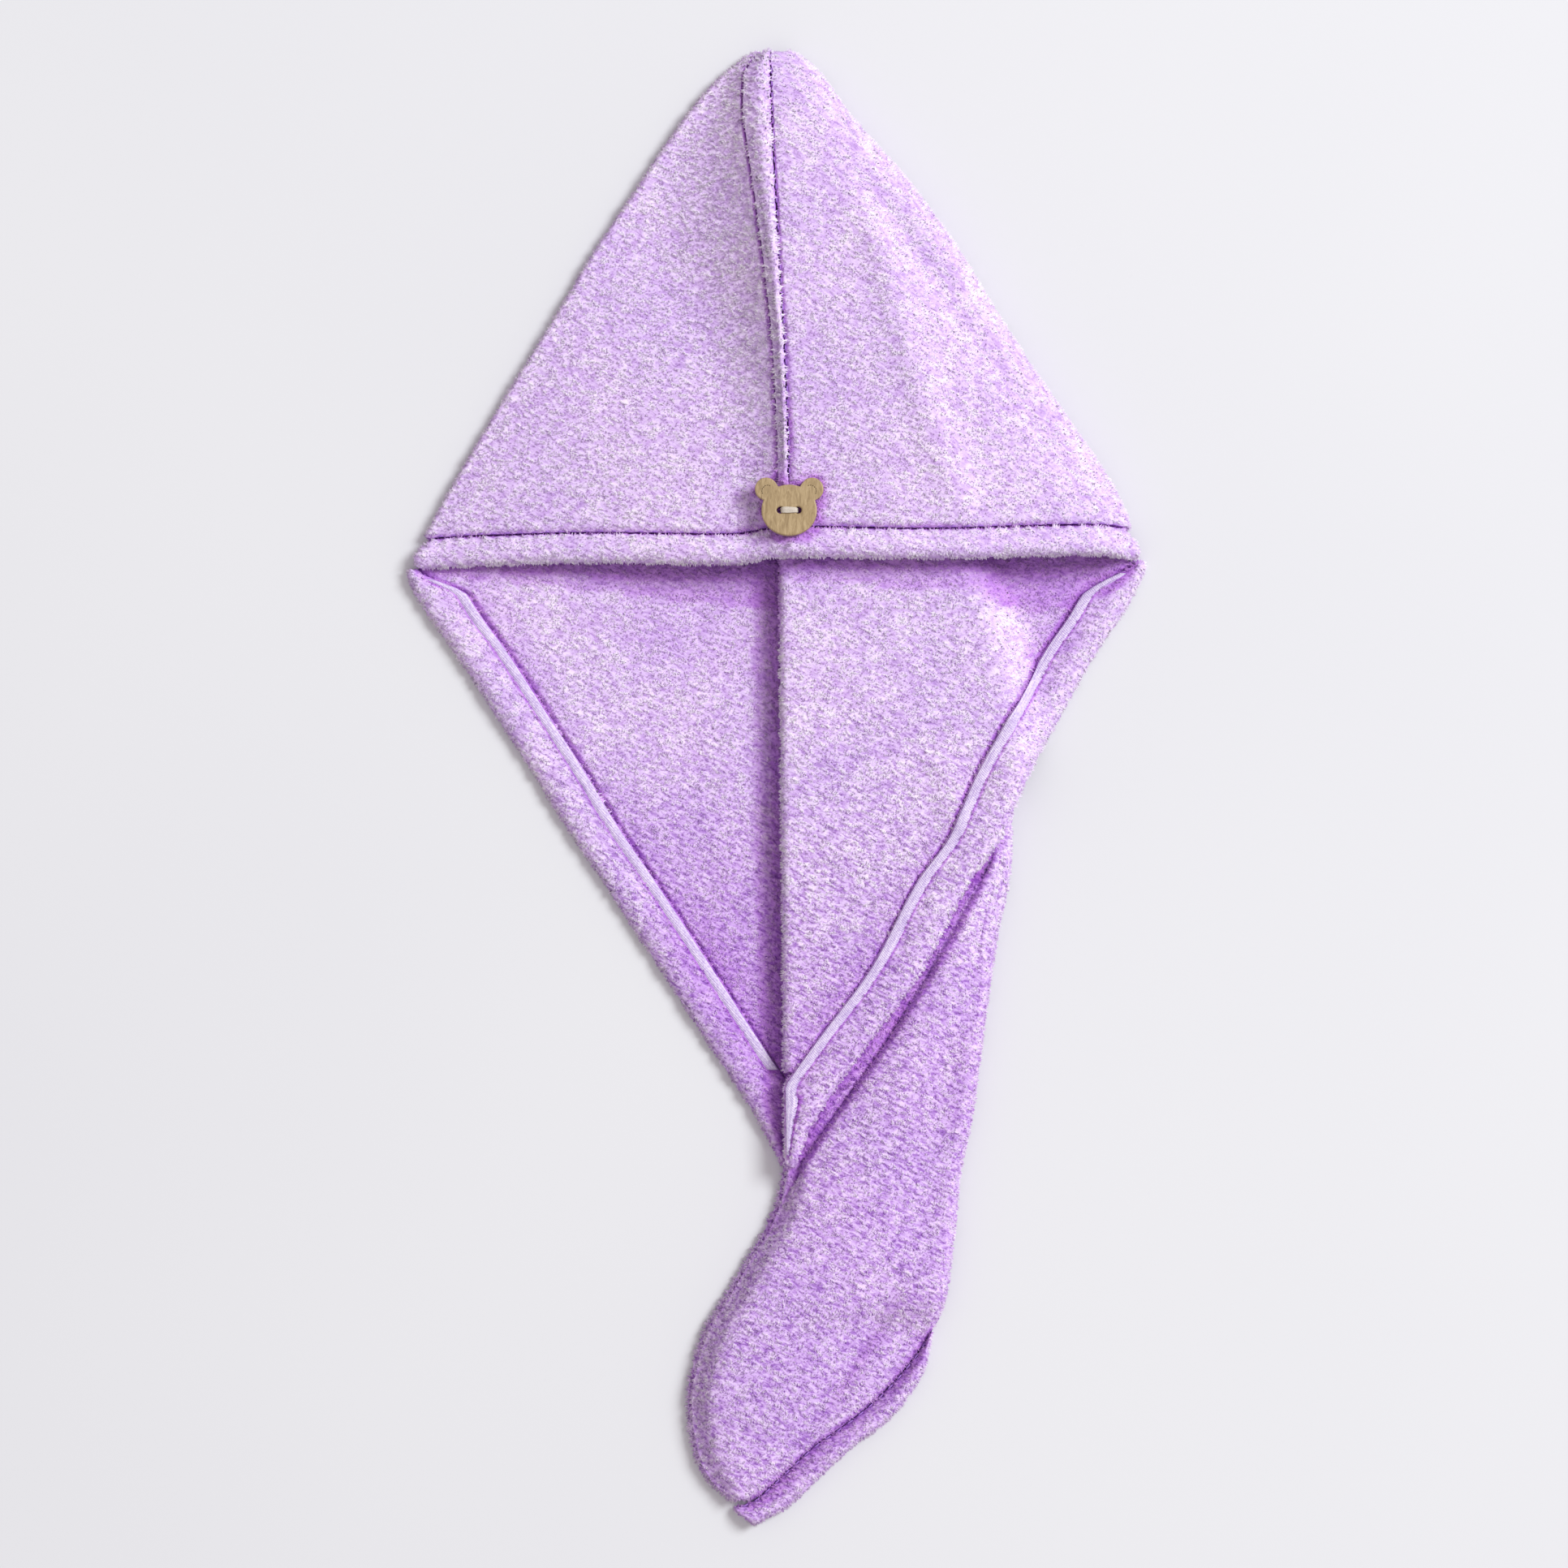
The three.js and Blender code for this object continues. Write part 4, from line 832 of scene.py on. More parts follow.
def tail_end_hem():
    sections = []
    inner, outer = end_hem_lines(END_STEPS)
    run = run_along(inner)
    across, rise = hem_round[:, :1], hem_round[:, 1:]
    for k in range(len(inner)):
        at = mix(outer[k], inner[k], across)
        pull = stitch_pull(run[k], across) * (rise > 0.5)
        sections.append(np.concatenate([at, rise * END_HEM_THICKNESS - pull], axis=1))
    return tube(sections)


# materials, with colours from 0 to 255
WHITE = (255, 255, 255)


def srgb(r, g, b):
    return [*(((c / 255 + 0.055) / 1.055) ** 2.4 if c > 10 else c / 255 / 12.92 for c in (r, g, b)), 1]


class Look:
    """A material, and short ways to make its nodes."""

    def __init__(self, name, roughness, **inputs):
        self.material = bpy.data.materials.new(name)
        self.material.use_nodes = True
        self.tree = self.material.node_tree
        self.shader = self.tree.nodes["Principled BSDF"]
        self.put(self.shader, Roughness=roughness, **inputs)
        self.place = self.node("TexCoord").outputs["Object"]

    def plug(self, socket, value):
        if isinstance(value, bpy.types.NodeSocket):
            self.tree.links.new(value, socket)
        else:
            socket.default_value = value

    def put(self, node, **inputs):
        for name, value in inputs.items():
            self.plug(node.inputs[name.replace("_", " ")], value)

    def node(self, kind, **inputs):
        node = self.tree.nodes.new("ShaderNode" + kind)
        self.put(node, **inputs)
        return node

    def noise(self, place, scale, detail, roughness=0.5, distortion=0.0):
        return self.node("TexNoise", Vector=place, Scale=scale, Detail=detail, Roughness=roughness,
                         Distortion=distortion).outputs["Fac"]

    def ramp(self, fac, *stops):
        node = self.node("ValToRGB", Fac=fac)
        elements = node.color_ramp.elements
        while len(elements) < len(stops):
            elements.new(0.5)
        for element, (at, colour) in zip(elements, stops):
            element.position = at
            element.color = srgb(*colour)
        return node.outputs["Color"]

    def multiplied(self, share, colour, other):
        node = self.node("Mix")
        node.data_type, node.blend_type = "RGBA", "MULTIPLY"
        for socket, value in ((0, share), (6, colour), (7, other)):
            self.plug(node.inputs[socket], value)
        return node.outputs[2]

    def attribute(self, name, output="Fac"):
        node = self.node("Attribute")
        node.attribute_type, node.attribute_name = "GEOMETRY", name
        return node.outputs[output]

    def finished(self, colour, height, distance, strength):
        """The material with its base colour and its bump, whose distance is in metres."""
        bump = self.node("Bump", Height=height, Distance=distance, Strength=strength)
        self.put(self.shader, Base_Color=colour, Normal=bump.outputs["Normal"])
        return self.material


NAP_TURN = math.radians(-27)  # the crumbs of pile run from upper left to lower right
CRUMB_STRETCH = 2.4


def fleece(name, dark, mid, light, strength):
    """Coral fleece, with painted shade in its hollows, between its tufts and crumbs and at the roots of its
    spikes, and pale at the tufts' tips.
    """
    look = Look(name, 0.92, Specular_IOR_Level=0.1, Sheen_Weight=0.25, Sheen_Roughness=0.6,
                Sheen_Tint=srgb(240, 222, 255))
    laid = look.node("Mapping", Rotation=(0, 0, NAP_TURN), Scale=(CRUMB_STRETCH, 1, 1), Vector=look.place)
    laid.vector_type = "TEXTURE"
    crumbs = look.noise(laid.outputs["Vector"], 780, 3, 0.6, 0.5)
    # painted shade: the tuft ramp runs from dark at the spikes' roots and between the tufts to pale at their
    # tips
    tuft = look.ramp(look.attribute("tuft"), (0.0, dark), (0.45, mid), (0.95, light))
    # painted shade: the grain ramp darkens the gaps between the crumbs of pile, as deep as its attribute says
    grain = look.ramp(crumbs, (0.36, (180, 142, 204)), (0.46, (228, 210, 238)), (0.58, WHITE))
    broad = look.ramp(look.noise(look.place, 26, 2), (0.35, (247, 243, 252)), (0.65, WHITE))
    # painted shade: the less of the sky a point sees, the deeper purple its colour, in hollows and creases
    painted_hollow_shade = look.ramp(look.attribute("sky"), (0.25, (204, 142, 222)), (0.65, (226, 184, 240)), (0.92, WHITE))
    colour = look.multiplied(look.attribute("crumble"), tuft, grain)
    colour = look.multiplied(1.0, look.multiplied(1.0, colour, broad), painted_hollow_shade)
    return look.finished(colour, crumbs, 0.0009, strength)


def satin():
    look = Look("satin_weave", 0.58, Specular_IOR_Level=0.3, Anisotropic=0.3, Sheen_Weight=0.25,
                Sheen_Roughness=0.5)
    weave = look.node("TexWave", Vector=look.place, Scale=620, Distortion=1.2, Detail=1)
    weave.wave_type, weave.bands_direction = "BANDS", "DIAGONAL"
    streaks = look.ramp(look.noise(look.attribute("run", "Vector"), 1.0, 3, 0.6),
                        (0.3, (196, 176, 220)), (0.5, (219, 204, 235)), (0.72, (238, 228, 247)))
    speckle = look.ramp(look.noise(look.place, 1300, 2, 0.6), (0.38, (226, 216, 236)), (0.6, WHITE))
    return look.finished(look.multiplied(1.0, streaks, speckle), weave.outputs["Fac"], 0.0002, 0.5)


def stitching(name, low, high):
    look = Look(name, 0.7, Specular_IOR_Level=0.3, Sheen_Weight=0.2)
    twist = look.node("TexWave", Vector=look.place, Scale=900, Distortion=2).outputs["Fac"]
    return look.finished(look.ramp(twist, (0.2, low), (0.8, high)), twist, 0.0002, 0.6)


def resin():
    look = Look("button_resin", 0.46, Specular_IOR_Level=0.45)
    stretch = look.node("Mapping", Scale=(1.0, 0.22, 1.0), Vector=look.place)
    grain = look.noise(stretch.outputs["Vector"], 900, 4, 0.6, 1.2)
    colour = look.ramp(grain, (0.3, (138, 116, 82)), (0.5, (164, 141, 104)), (0.7, (184, 162, 124)))
    wear = look.node("MapRange", Value=look.noise(look.place, 260, 3), To_Min=0.36, To_Max=0.6)
    look.put(look.shader, Roughness=wear.outputs["Result"])
    return look.finished(colour, grain, 0.00015, 0.35)


# painted shade: the ground cloth under the spikes is a darker copy of the pile's fleece
fleece_shaded_ground = fleece("fleece_ground_shaded", (208, 176, 228), (236, 218, 248), (250, 240, 254), 0.7)
fleece_pile = fleece("fleece_pile", (210, 178, 226), (246, 233, 250), (253, 248, 254), 0.35)
satin_mat = satin()
resin_mat = resin()
deep_thread = stitching("stitch_thread", (150, 100, 196), (180, 132, 220))
pale_thread = stitching("button_thread", (196, 184, 168), (228, 220, 208))
# painted shade: the button's ear arcs are dark dashes that stand for the shade in engraved grooves
groove_shade_mat = stitching("engraved_groove_shade", (96, 76, 48), (120, 98, 66))


# the button, lying on the crown seam
button_x = float(crown_seam(BUTTON_DOWN))
chin = float(front_height(STITCH, button_x)) + HEM_RAISE + HEM_THICKNESS / 2
brow = float(crown_top(BUTTON_DOWN)) + CLOTH / 2 + CROWN_SEAM_RISE
button_place = np.array([button_x, y_at(BUTTON_DOWN), max(chin, brow) + CLEARANCE])


def on_button(points):
    """Points of the button's own frame, laid in its place on the towel."""
    p = np.asarray(points, float)
    c, s = math.cos(BUTTON_TILT), math.sin(BUTTON_TILT)
    turned = np.stack([p[..., 0], c * p[..., 1] - s * p[..., 2], s * p[..., 1] + c * p[..., 2]], axis=-1)
    return turned + button_place


def turns(count):
    return np.linspace(0, 2 * math.pi, count, endpoint=False)


def bear_outline():
    """The head's outline: the furthest point of the face or of an ear in each direction."""
    points = []
    for angle in turns(220):
        c, s = math.cos(angle), math.sin(angle)
        reach = 1 / math.hypot(c / (FACE_WIDTH / 2), s / (FACE_HEIGHT / 2))
        for side in (-1, 1):
            along = side * EAR_SPREAD * c + EAR_LIFT * s
            inside = along**2 - (EAR_SPREAD**2 + EAR_LIFT**2) + EAR_RADIUS**2
            if along > 0 and inside > 0 and along - math.sqrt(inside) < reach + 0.6:
                reach = max(reach, along + math.sqrt(inside))
        points.append((reach * c, reach * s))
    return np.array(points)


def circle(radius, x, y):
    angle = turns(28)
    return np.stack([x + radius * np.cos(angle), y + radius * np.sin(angle)], axis=-1)


def plate(name, loops, thickness, bevel, mat):
    """A flat plate with holes and a rounded rim, from closed outlines in its own frame."""
    data = bpy.data.curves.new(name, "CURVE")
    data.dimensions, data.fill_mode = "2D", "BOTH"
    data.extrude = (thickness / 2 - bevel) * MM
    data.bevel_depth, data.bevel_resolution, data.offset = bevel * MM, 3, -bevel * MM
    for loop in loops:
        spline = data.splines.new("POLY")
        spline.points.add(len(loop) - 1)
        spline.use_cyclic_u = True
        for point, (x, y) in zip(spline.points, loop):
            point.co = (x * MM, y * MM, 0, 1)
    flat = linked(name, data)
    mesh = bpy.data.meshes.new_from_object(flat.evaluated_get(bpy.context.evaluated_depsgraph_get()))
    bpy.data.objects.remove(flat)
    bm = bmesh.new()
    bm.from_mesh(mesh)
    bmesh.ops.remove_doubles(bm, verts=bm.verts, dist=2e-6)
    bmesh.ops.triangulate(bm, faces=bm.faces)
    for vert in bm.verts:
        own = np.array(vert.co) / MM + (0, 0, thickness / 2)
        vert.co = Vector(on_button(own) * MM)
    bmesh.ops.recalc_face_normals(bm, faces=bm.faces)
    bm.to_mesh(mesh)
    bm.free()
    mesh.materials.clear()
    mesh.materials.append(mat)
    return linked(name, mesh)


def rope(path, radius, around=8):
    """A closed tube of round sections along a path in millimetres, tapered over its two ends."""
    p = np.asarray(path, float)
    along = unit(np.gradient(p, axis=0))
    side = unit(np.cross(along, np.where(np.abs(along[:, 2:]) > 0.9, [[1.0, 0, 0]], [[0, 0, 1.0]])))
    other = np.cross(side, along)
    angle = turns(around)
    taper = np.ones(len(p))
    taper[0] = taper[-1] = 0.45
    ring = np.cos(angle)[None, :, None] * side[:, None] + np.sin(angle)[None, :, None] * other[:, None]
    return tube(list(p[:, None] + ring * (radius * taper)[:, None, None]))


RIM_BEVEL = 0.55
ARC_RADIUS, ARC_REACH, ARC_DASHES = 2.1, 1.15, 7
ARC_INWARD, ARC_DOWN = 0.93, 0.9  # shares of the ear's place at which an arc has its middle
DASH_HALF, DASH_ROPE = 0.28, 0.17
STRANDS = ((-0.78, 0.05), (-0.26, 0.22), (0.26, 0.22), (0.78, 0.05))  # place across the holes, extra height
STRAND_ROPE = 0.36

button = plate("bear_button", [
    bear_outline(), circle(HOLE_RADIUS, -HOLE_SPREAD, 0), circle(HOLE_RADIUS, HOLE_SPREAD, 0)
], BUTTON_THICKNESS, RIM_BEVEL, resin_mat)

# the ear arcs: raised dark dashes on the button's face, painted shade for its engraved grooves
arcs = []
for side in (-1, 1):
    lean = math.atan2(EAR_LIFT, side * EAR_SPREAD)
    for angle in lean + np.linspace(-ARC_REACH, ARC_REACH, ARC_DASHES):
        x = side * EAR_SPREAD * ARC_INWARD + ARC_RADIUS * math.cos(angle)
        y = EAR_LIFT * ARC_DOWN + ARC_RADIUS * math.sin(angle)
        dx, dy = -DASH_HALF * math.sin(angle), DASH_HALF * math.cos(angle)
        top = BUTTON_THICKNESS + 0.02
        dash = [(x - dx, y - dy, top), (x, y, top + 0.03), (x + dx, y + dy, top)]
        arcs.append(rope(on_button(dash), DASH_ROPE, 6))
ear_arcs = object_from("ear_arcs", *merged(arcs), groove_shade_mat)

strands = []
for k, (offset, extra) in enumerate(STRANDS):
    t = np.linspace(-1, 1, 15)
    plunge = 2.6 * np.maximum(0, np.abs(t) - 0.62) ** 1.4 * 3
    across = offset * (1 - 0.25 * t**2) + 0.06 * np.sin(3 * t + k)
    path = np.stack([t * (HOLE_SPREAD - 0.1), across, BUTTON_THICKNESS + 0.42 + extra - plunge], axis=-1)
    strands.append(rope(on_button(path), STRAND_ROPE))
threads = object_from("button_threads", *merged(strands), pale_thread)


# stitches
def front_surface(s, x):
    return placed((np.array([x]), np.array([float(front_height(s, x)) + CLOTH / 2])), s)[0]


def along_line(points, pitch, phase=0.5):
    """Points at an even pitch along a line."""
    p = np.asarray(points, float)
    run = run_along(p)
    at = np.arange(phase * pitch, run[-1], pitch)
    return np.stack([np.interp(at, run, p[:, k]) for k in range(3)], axis=-1)


HEM_STITCH = STITCH - 0.002
LINE_PITCH = 0.8
END_STITCH_HEIGHT = 0.72  # share of the end hem's thickness
hem_from, hem_to = edge(-1, STITCH), edge(1, STITCH)
hem_xs = np.arange(math.ceil(hem_from / STITCH_PITCH), hem_to / STITCH_PITCH) * STITCH_PITCH
hem_dimples = np.array([
    front_surface(HEM_STITCH, x) for x in hem_xs if abs(x - button_x) > FACE_WIDTH / 2 - 2
])
seam_rows = np.linspace(0.02, BUTTON_DOWN - 0.06, 160)
seam_curve = [front_surface(s, float(crown_seam(s)) + CLEARANCE) for s in seam_rows]
seam_dimples = along_line(seam_curve, STITCH_PITCH, 0.9)
end_inner = end_hem_lines(END_STEPS)[0]
end_heights = np.full((len(end_inner), 1), END_HEM_THICKNESS * END_STITCH_HEIGHT)
end_curve = np.concatenate([end_inner, end_heights], axis=1)[4:-3]
end_dimples = along_line(end_curve, STITCH_PITCH)
all_dimples = np.concatenate([hem_dimples, seam_dimples, end_dimples])
stitch_lines = np.concatenate([
    along_line(seam_curve, LINE_PITCH), along_line(end_curve, LINE_PITCH),
    [front_surface(HEM_STITCH, x) for x in np.arange(hem_from, hem_to, LINE_PITCH)],
])

# the cloth
parts = {
    "left_panel": left_panel(),
    "right_panel": right_panel(),
    "crown_seam": crown_seam_ridge(),
    "front_hem": front_hem(),
    "mouth_hem_left": mouth_hem(-1),
    "mouth_hem_right": mouth_hem(1),
    "tail_seam": tail_seam(),
    "tail_end_hem": tail_end_hem(),
}
tapes = {"hem_tape_left": hem_tape(-1), "hem_tape_right": hem_tape(1)}


def solid_of(obj):
    """The points and triangles of an object that has only triangles."""
    verts = np.array([v.co for v in obj.data.vertices]) / MM
    return verts, np.array([tuple(p.vertices) for p in obj.data.polygons])


def tree_of(meshes):
    verts, faces = merged([(v, np.pad(f, ((0, 0), (0, 4 - f.shape[1])), mode="edge")) for v, f in meshes])
    return BVHTree.FromPolygons(verts.tolist(), face_list(faces), epsilon=0.0)


SKY_RINGS = ((math.radians(50), 4), (math.radians(82), 6))  # tilt from upright, and how many directions
SKY_TURN = 0.4
SKY_LIFT = 0.06
GRAZING = 0.08
DIRECTIONS = [(0, 0, 1)] + [
    (math.sin(tilt) * math.cos(turn), math.sin(tilt) * math.sin(turn), math.cos(tilt))
    for tilt, count in SKY_RINGS
    for turn in np.arange(count) * 2 * math.pi / count + SKY_TURN
]


def openness(tree, points, normals):
    """The share of the sky that each point sees, of what faces it."""
    start = (points + normals * SKY_LIFT).tolist()
    facing = normals @ np.array(DIRECTIONS).T
    seen = np.zeros(len(points))
    could = np.zeros(len(points))
    for k, direction in enumerate(DIRECTIONS):
        for i in np.nonzero(facing[:, k] > GRAZING)[0]:
            could[i] += facing[i, k]
            if tree.ray_cast(start[i], direction)[0] is None:
                seen[i] += facing[i, k]
    return np.where(could > 0, seen / np.maximum(could, 1e-9), 0)


base_tree = tree_of([*parts.values(), *tapes.values(), solid_of(button)])


def distances(points, line, reach):
    """How far each point is from the nearest of a line's, looked for only within this reach of the line."""
    found = np.full(len(points), np.inf)
    low, high = line.min(axis=0) - reach, line.max(axis=0) + reach
    where = np.nonzero(((points > low) & (points < high)).all(axis=1))[0]
    for chunk in np.array_split(where, max(1, len(where) // 3000)):
        found[chunk] = np.linalg.norm(points[chunk, None, :] - line[None], axis=-1).min(axis=1)
    return found


DIMPLE_DEPTH, DIMPLE_RADIUS, DIMPLE_REACH = 0.75, 1.7, 4
SWELLS = ((0.15, 16, 3), (0.08, 5.5, 5))  # height, size across, seed
SWELL_MIDDLE = 0.2

shown = {}
for name, (verts, faces) in parts.items():
    normals = vertex_normals(verts, faces)
    open_sky = openness(base_tree, verts, normals)
    swell = sum(height * value_noise(verts, size, seed) for height, size, seed in SWELLS) + SWELL_MIDDLE
    lift = ease(open_sky * 1.6) * np.maximum(swell, 0) * clamp01(verts[:, 2] / 2)
    drawn_in = np.exp(-(distances(verts, all_dimples, DIMPLE_REACH) / DIMPLE_RADIUS) ** 2)
    lift = lift - DIMPLE_DEPTH * drawn_in * (open_sky > 0.2)
    shown[name] = (verts + normals * lift[:, None], faces, open_sky)

# the pile: tufts of spikes on every side that shows
PILE_ROUNDNESS = 0.55  # how far the spikes are shaded as round, and not as the cloth that they stand on
TIP_ROUNDNESS = 0.5
PILE_RAISED = 0.6  # on steep sides the pile still turns up towards the light
# painted shade on the tail: the y below which it starts, the length over which it grows, and the most of the
# sky share it takes off
TAIL_SHADE_TOP, TAIL_SHADE_FADE, TAIL_SHADE_DEPTH = 20, 110, 0.14
CRUMBLE_TOP, CRUMBLE_FADE, CRUMBLE_HOOD, CRUMBLE_TAIL = 80, 150, 0.5, 0.95
NAP_DRAWN = 0.45
NAP_WAY = np.array([math.cos(NAP_TURN), math.sin(NAP_TURN), 0.0])
NAP_ACROSS = np.array([-math.sin(NAP_TURN), math.cos(NAP_TURN), 0.0])
NAP_FALL = np.array([0.35, -0.45, 0.0])
PROBE = 0.35
STRAY = 0.22
SPIKE_WIDTH = 0.5
SPIKE_ROOT = 0.22  # below the cloth's face
SHORTEST = 0.45
LEAN, STEEPEST_LEAN, NAP_SHARE = 0.75, 1.1, 0.35
TUFT_CONTRAST = 1.35
KEPT_LOW, KEPT_BY_TUFT = 0.3, 2.2
HIDDEN_SKY, UNDERSIDE = 0.03, -0.75  # no pile below this share of the sky, nor where the cloth faces down
ROOT_LIFT, HIT_GAP, FLOOR_GAP = 0.12, 0.2, 0.15
LINE_CLEAR, DIMPLE_CLEAR = 0.45, 1.15
DENSITY = 1.9  # spikes for a square millimetre
PILE_LENGTH, SEAM_PILE_LENGTH = 1.25, 1.9
BAKE_MARGIN = 12
pile_tree = tree_of([(v, f) for v, f, _ in shown.values()] + [*tapes.values(), solid_of(button)])


def tuft_height(points):
    """The tufts as a relief from about -1.5 to 1.5: crumbs drawn out from upper left to lower right."""
    drawn = np.stack([points @ NAP_WAY * NAP_DRAWN, points @ NAP_ACROSS, points[:, 2]], axis=-1)
    return value_noise(drawn, 1.15, 11) + 0.5 * value_noise(drawn, 0.75, 12)


def tufts(name, long):
    """Spikes of pile on a piece: base points, tips, frames and widths, in millimetres, and the tuft rises and
    sky shares that set their painted shade.
    """
    verts, faces, open_sky = shown[name]
    normals = vertex_normals(verts, faces)
    tris = np.concatenate([faces[:, [0, 1, 2]], faces[:, [0, 2, 3]]])
    a, b, c = (verts[tris[:, k]] for k in range(3))
    cross = np.cross(b - a, c - a)
    area = np.linalg.norm(cross, axis=1) / 2
    sky = open_sky[tris].mean(axis=1)
    upward = cross[:, 2] / np.maximum(2 * area, 1e-9)
    wanted = area * DENSITY * ease(sky * 2.2) * (sky > HIDDEN_SKY) * (upward > UNDERSIDE)
    count = np.floor(wanted + rng.random(len(wanted))).astype(int)
    pick = tris[np.repeat(np.arange(len(tris)), count)]
    u, v = rng.random(len(pick)), rng.random(len(pick))
    flip = u + v > 1
    u, v = np.where(flip, 1 - u, u), np.where(flip, 1 - v, v)
    share = np.stack([1 - u - v, u, v], axis=-1)
    base = (verts[pick] * share[..., None]).sum(axis=1)
    normal = unit((normals[pick] * share[..., None]).sum(axis=1))
    base_sky = (open_sky[pick] * share).sum(axis=1)
    axis_x = unit(np.cross(normal, np.where(np.abs(normal[:, :1]) > 0.8, [[0, 1.0, 0]], [[1.0, 0, 0]])))
    axis_y = np.cross(normal, axis_x)
    lean = 0
    for axis in (axis_x, axis_y):
        slope = (tuft_height(base + axis * PROBE) - tuft_height(base - axis * PROBE)) / (2 * PROBE)
        lean = lean + axis * slope[:, None]
    lean = lean / np.maximum(1, np.linalg.norm(lean, axis=1, keepdims=True) / STEEPEST_LEAN)
    nap = NAP_FALL - normal * (normal @ NAP_FALL)[:, None]
    stray = sum(axis * rng.normal(0, STRAY, len(base))[:, None] for axis in (axis_x, axis_y))
    tuft = clamp01(0.5 + TUFT_CONTRAST * tuft_height(base))
    length = long * (0.45 + 0.5 * tuft + 0.25 * rng.random(len(base)))
    direction = unit(normal + LEAN * lean + NAP_SHARE * nap + stray)
    keep = distances(base, stitch_lines, LINE_CLEAR) >= LINE_CLEAR
    keep &= distances(base, all_dimples, DIMPLE_CLEAR) >= DIMPLE_CLEAR
    keep &= rng.random(len(base)) < KEPT_LOW + KEPT_BY_TUFT * tuft
    start = (base + normal * ROOT_LIFT).tolist()
    way = direction.tolist()
    for i in np.nonzero(keep)[0]:
        hit = pile_tree.ray_cast(start[i], way[i], float(length[i]) + 0.3)
        if hit[0] is not None:
            length[i] = hit[3] - HIT_GAP
            keep[i] = length[i] > SHORTEST
    tip = base + direction * length[:, None]
    keep &= tip[:, 2] > FLOOR_GAP
    width = SPIKE_WIDTH * (0.75 + 0.5 * rng.random(len(base)))
    return tuple(a[keep] for a in (base, tip, normal, axis_x, axis_y, width, tuft, base_sky))


def crumble(points):
    """How deep the painted shade in the gaps between the crumbs of pile is: the hood is smoother than the
    tail.
    """
    return mix(CRUMBLE_HOOD, CRUMBLE_TAIL, ease((CRUMBLE_TOP - points[:, 1]) / CRUMBLE_FADE))


def tail_painted_shade(points):
    """Painted shade on the tail, by a lower share of the sky; the tail's pile lies the other way."""
    return 1 - TAIL_SHADE_DEPTH * ease((TAIL_SHADE_TOP - points[:, 1]) / TAIL_SHADE_FADE)


def pile_object(name, spikes):
    base, tip, normal, axis_x, axis_y, width, tuft, sky = spikes
    turn = rng.random(len(base)) * 2 * math.pi
    raised = np.stack([normal[:, 0], normal[:, 1], np.maximum(normal[:, 2], PILE_RAISED)], axis=-1)
    corners, soft = [], []
    for k in range(3):
        angle = turn + k * 2 * math.pi / 3
        around = axis_x * np.cos(angle)[:, None] + axis_y * np.sin(angle)[:, None]
        corners.append(base - normal * SPIKE_ROOT + around * width[:, None])
        soft.append(unit(raised + PILE_ROUNDNESS * around))
    soft.append(unit(raised + TIP_ROUNDNESS * unit(tip - base)))
    verts = np.stack([*corners, tip], axis=1).reshape(-1, 3)
    verts[:, 2] = np.maximum(verts[:, 2], 0)
    sides = np.array([(0, 1, 3), (1, 2, 3), (2, 0, 3), (0, 2, 1)])
    faces = (np.arange(len(base))[:, None, None] * 4 + sides).reshape(-1, 3)
    obj = object_from(name, verts, faces, fleece_pile)
    obj.data.normals_split_custom_set_from_vertices(np.stack(soft, axis=1).reshape(-1, 3))
    # painted shade: a spike's three root corners get less than half of its tuft value and its tip all of it,
    # so its root is darker
    set_attributes(obj, tuft=(tuft[:, None] * np.array([0.45, 0.45, 0.45, 1.0])).ravel(),
                   sky=np.repeat(sky * tail_painted_shade(base), 4), crumble=np.repeat(crumble(base), 4))
    cad_low, cad_high = (np.array(corner[:2]) / MM for corner in cad_box)
    low = cad_low - BAKE_MARGIN
    size = (cad_high - cad_low).max() + 2 * BAKE_MARGIN
    layer = obj.data.uv_layers.new(name="OFBake")
    layer.data.foreach_set("uv", ((verts[faces.ravel()][:, :2] - low) / size).astype(np.float32).ravel())
    return obj


piles = {}
for name in parts:
    piles[name] = tufts(name, SEAM_PILE_LENGTH if name in ("tail_seam", "crown_seam") else PILE_LENGTH)

# the pieces
pieces = {}
for name, (verts, faces, open_sky) in shown.items():
    pieces[name] = object_from(name + "_cloth", verts, faces, fleece_shaded_ground)
    # painted shade on the ground cloth: darker between the tufts, in hollows and on the tail, through these
    # attributes
    set_attributes(pieces[name], tuft=clamp01(0.4 + 0.4 * tuft_height(verts)),
                   sky=open_sky * tail_painted_shade(verts), crumble=crumble(verts))
    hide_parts(name)
for side, (name, mesh) in zip((-1, 1), tapes.items()):
    pieces[name] = object_from(name + "_satin", *mesh, satin_mat)
    set_attributes(pieces[name], run=tape_run(side))
    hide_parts(name)
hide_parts("button")
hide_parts("button_thread")

pile_pieces = {"left": [], "right": []}
split = {"left_panel": ("left", 1), "right_panel": ("right", 2)}
for name, (side, chunks) in split.items():
    order = np.argsort(-piles[name][0][:, 1], kind="stable")
    for k, rows in enumerate(np.array_split(order, chunks)):
        pile_pieces[side].append(pile_object(f"pile_{side}_{k}", tuple(a[rows] for a in piles[name])))
rest = [piles[name] for name in parts if name not in split]
hem_pile = pile_object("pile_hems", tuple(np.concatenate(columns) for columns in zip(*rest)))

STITCH_HALF, STITCH_ROPE = 1.25, 0.3
STITCH_LOW, STITCH_BEND = 0.15, 0.45

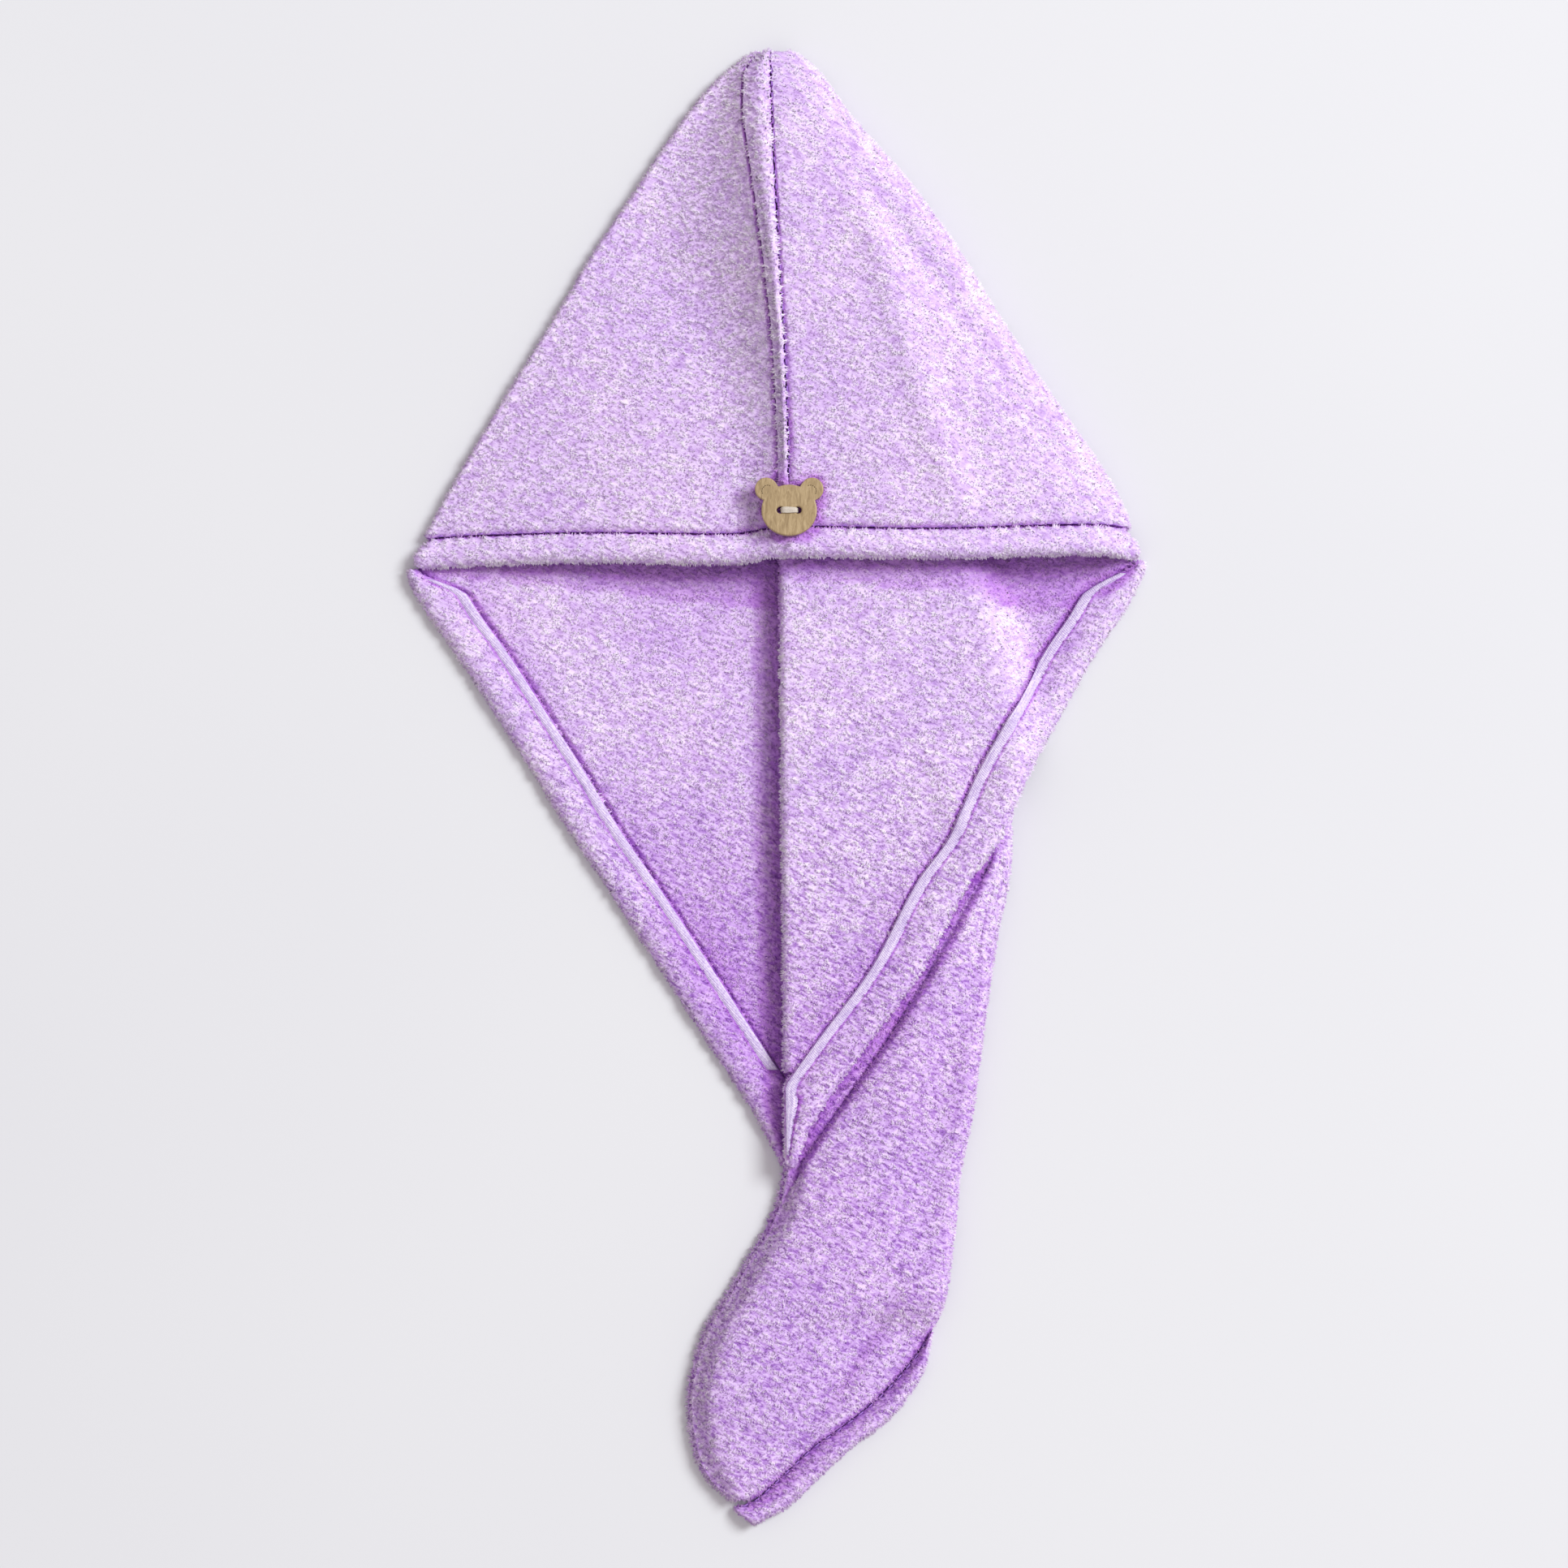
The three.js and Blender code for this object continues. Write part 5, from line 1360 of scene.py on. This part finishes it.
dashes = []
for line in (hem_dimples, seam_dimples, end_dimples):
    for point, along in zip(line, unit(np.gradient(line, axis=0))):
        t = np.linspace(-1, 1, 7)[:, None]
        sunk = np.array([0, 0, 1.0]) * (-STITCH_LOW - STITCH_BEND * t**2)
        dashes.append(rope(point + along * t * STITCH_HALF + sunk, STITCH_ROPE, 6))
stitches = object_from("seam_stitches", *merged(dashes), deep_thread)

soft_pieces = [*pieces.values(), *pile_pieces["left"], *pile_pieces["right"], hem_pile]
for piece in [*soft_pieces, stitches, button, ear_arcs, threads]:
    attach(piece, "root")

# floor, light and camera, in metres
FLOOR_HALF = 4.0
LIGHT_PLACE = Vector((3.65, 2.1, 4.1))
LIGHT_SIZE, LIGHT_POWER, LIGHT_COLOUR = 2.5, 308, (0.955, 0.985, 1.0)
SKY_COLOUR, SKY_STRENGTH = (1.0, 0.935, 0.95, 1), 0.62
CAMERA_PLACE = (0.0027, 0.0021, 1.3805)

floor_corners = [(x * FLOOR_HALF, y * FLOOR_HALF, 0) for x, y in ((-1, -1), (1, -1), (1, 1), (-1, 1))]
floor_mesh = bpy.data.meshes.new("floor")
floor_mesh.from_pydata(floor_corners, [], [(0, 1, 2, 3)])
floor = linked("floor", floor_mesh)
paper = Look("pale_floor", 0.8, Specular_IOR_Level=0.2)
tone = paper.ramp(paper.noise(paper.place, 2.2, 2), (0.3, (216, 217, 220)), (0.7, (220, 221, 223)))
paper.put(paper.shader, Base_Color=tone)
floor_mesh.materials.append(paper.material)

light = bpy.data.lights.new("window", "AREA")
light.shape, light.size, light.energy, light.color = "DISK", LIGHT_SIZE, LIGHT_POWER, LIGHT_COLOUR
lamp = linked("window", light)
lamp.location = LIGHT_PLACE
lamp.rotation_euler = (-LIGHT_PLACE).to_track_quat("-Z", "Y").to_euler()
world = bpy.data.worlds.new("studio")
world.use_nodes = True
world.node_tree.nodes["Background"].inputs["Color"].default_value = SKY_COLOUR
world.node_tree.nodes["Background"].inputs["Strength"].default_value = SKY_STRENGTH
scene.world = world
scene.view_settings.view_transform = "Standard"

camera_data = bpy.data.cameras.new("camera")
camera_data.sensor_width, camera_data.lens = 36, 85
camera = linked("camera", camera_data)
camera.location = CAMERA_PLACE
scene.camera = camera
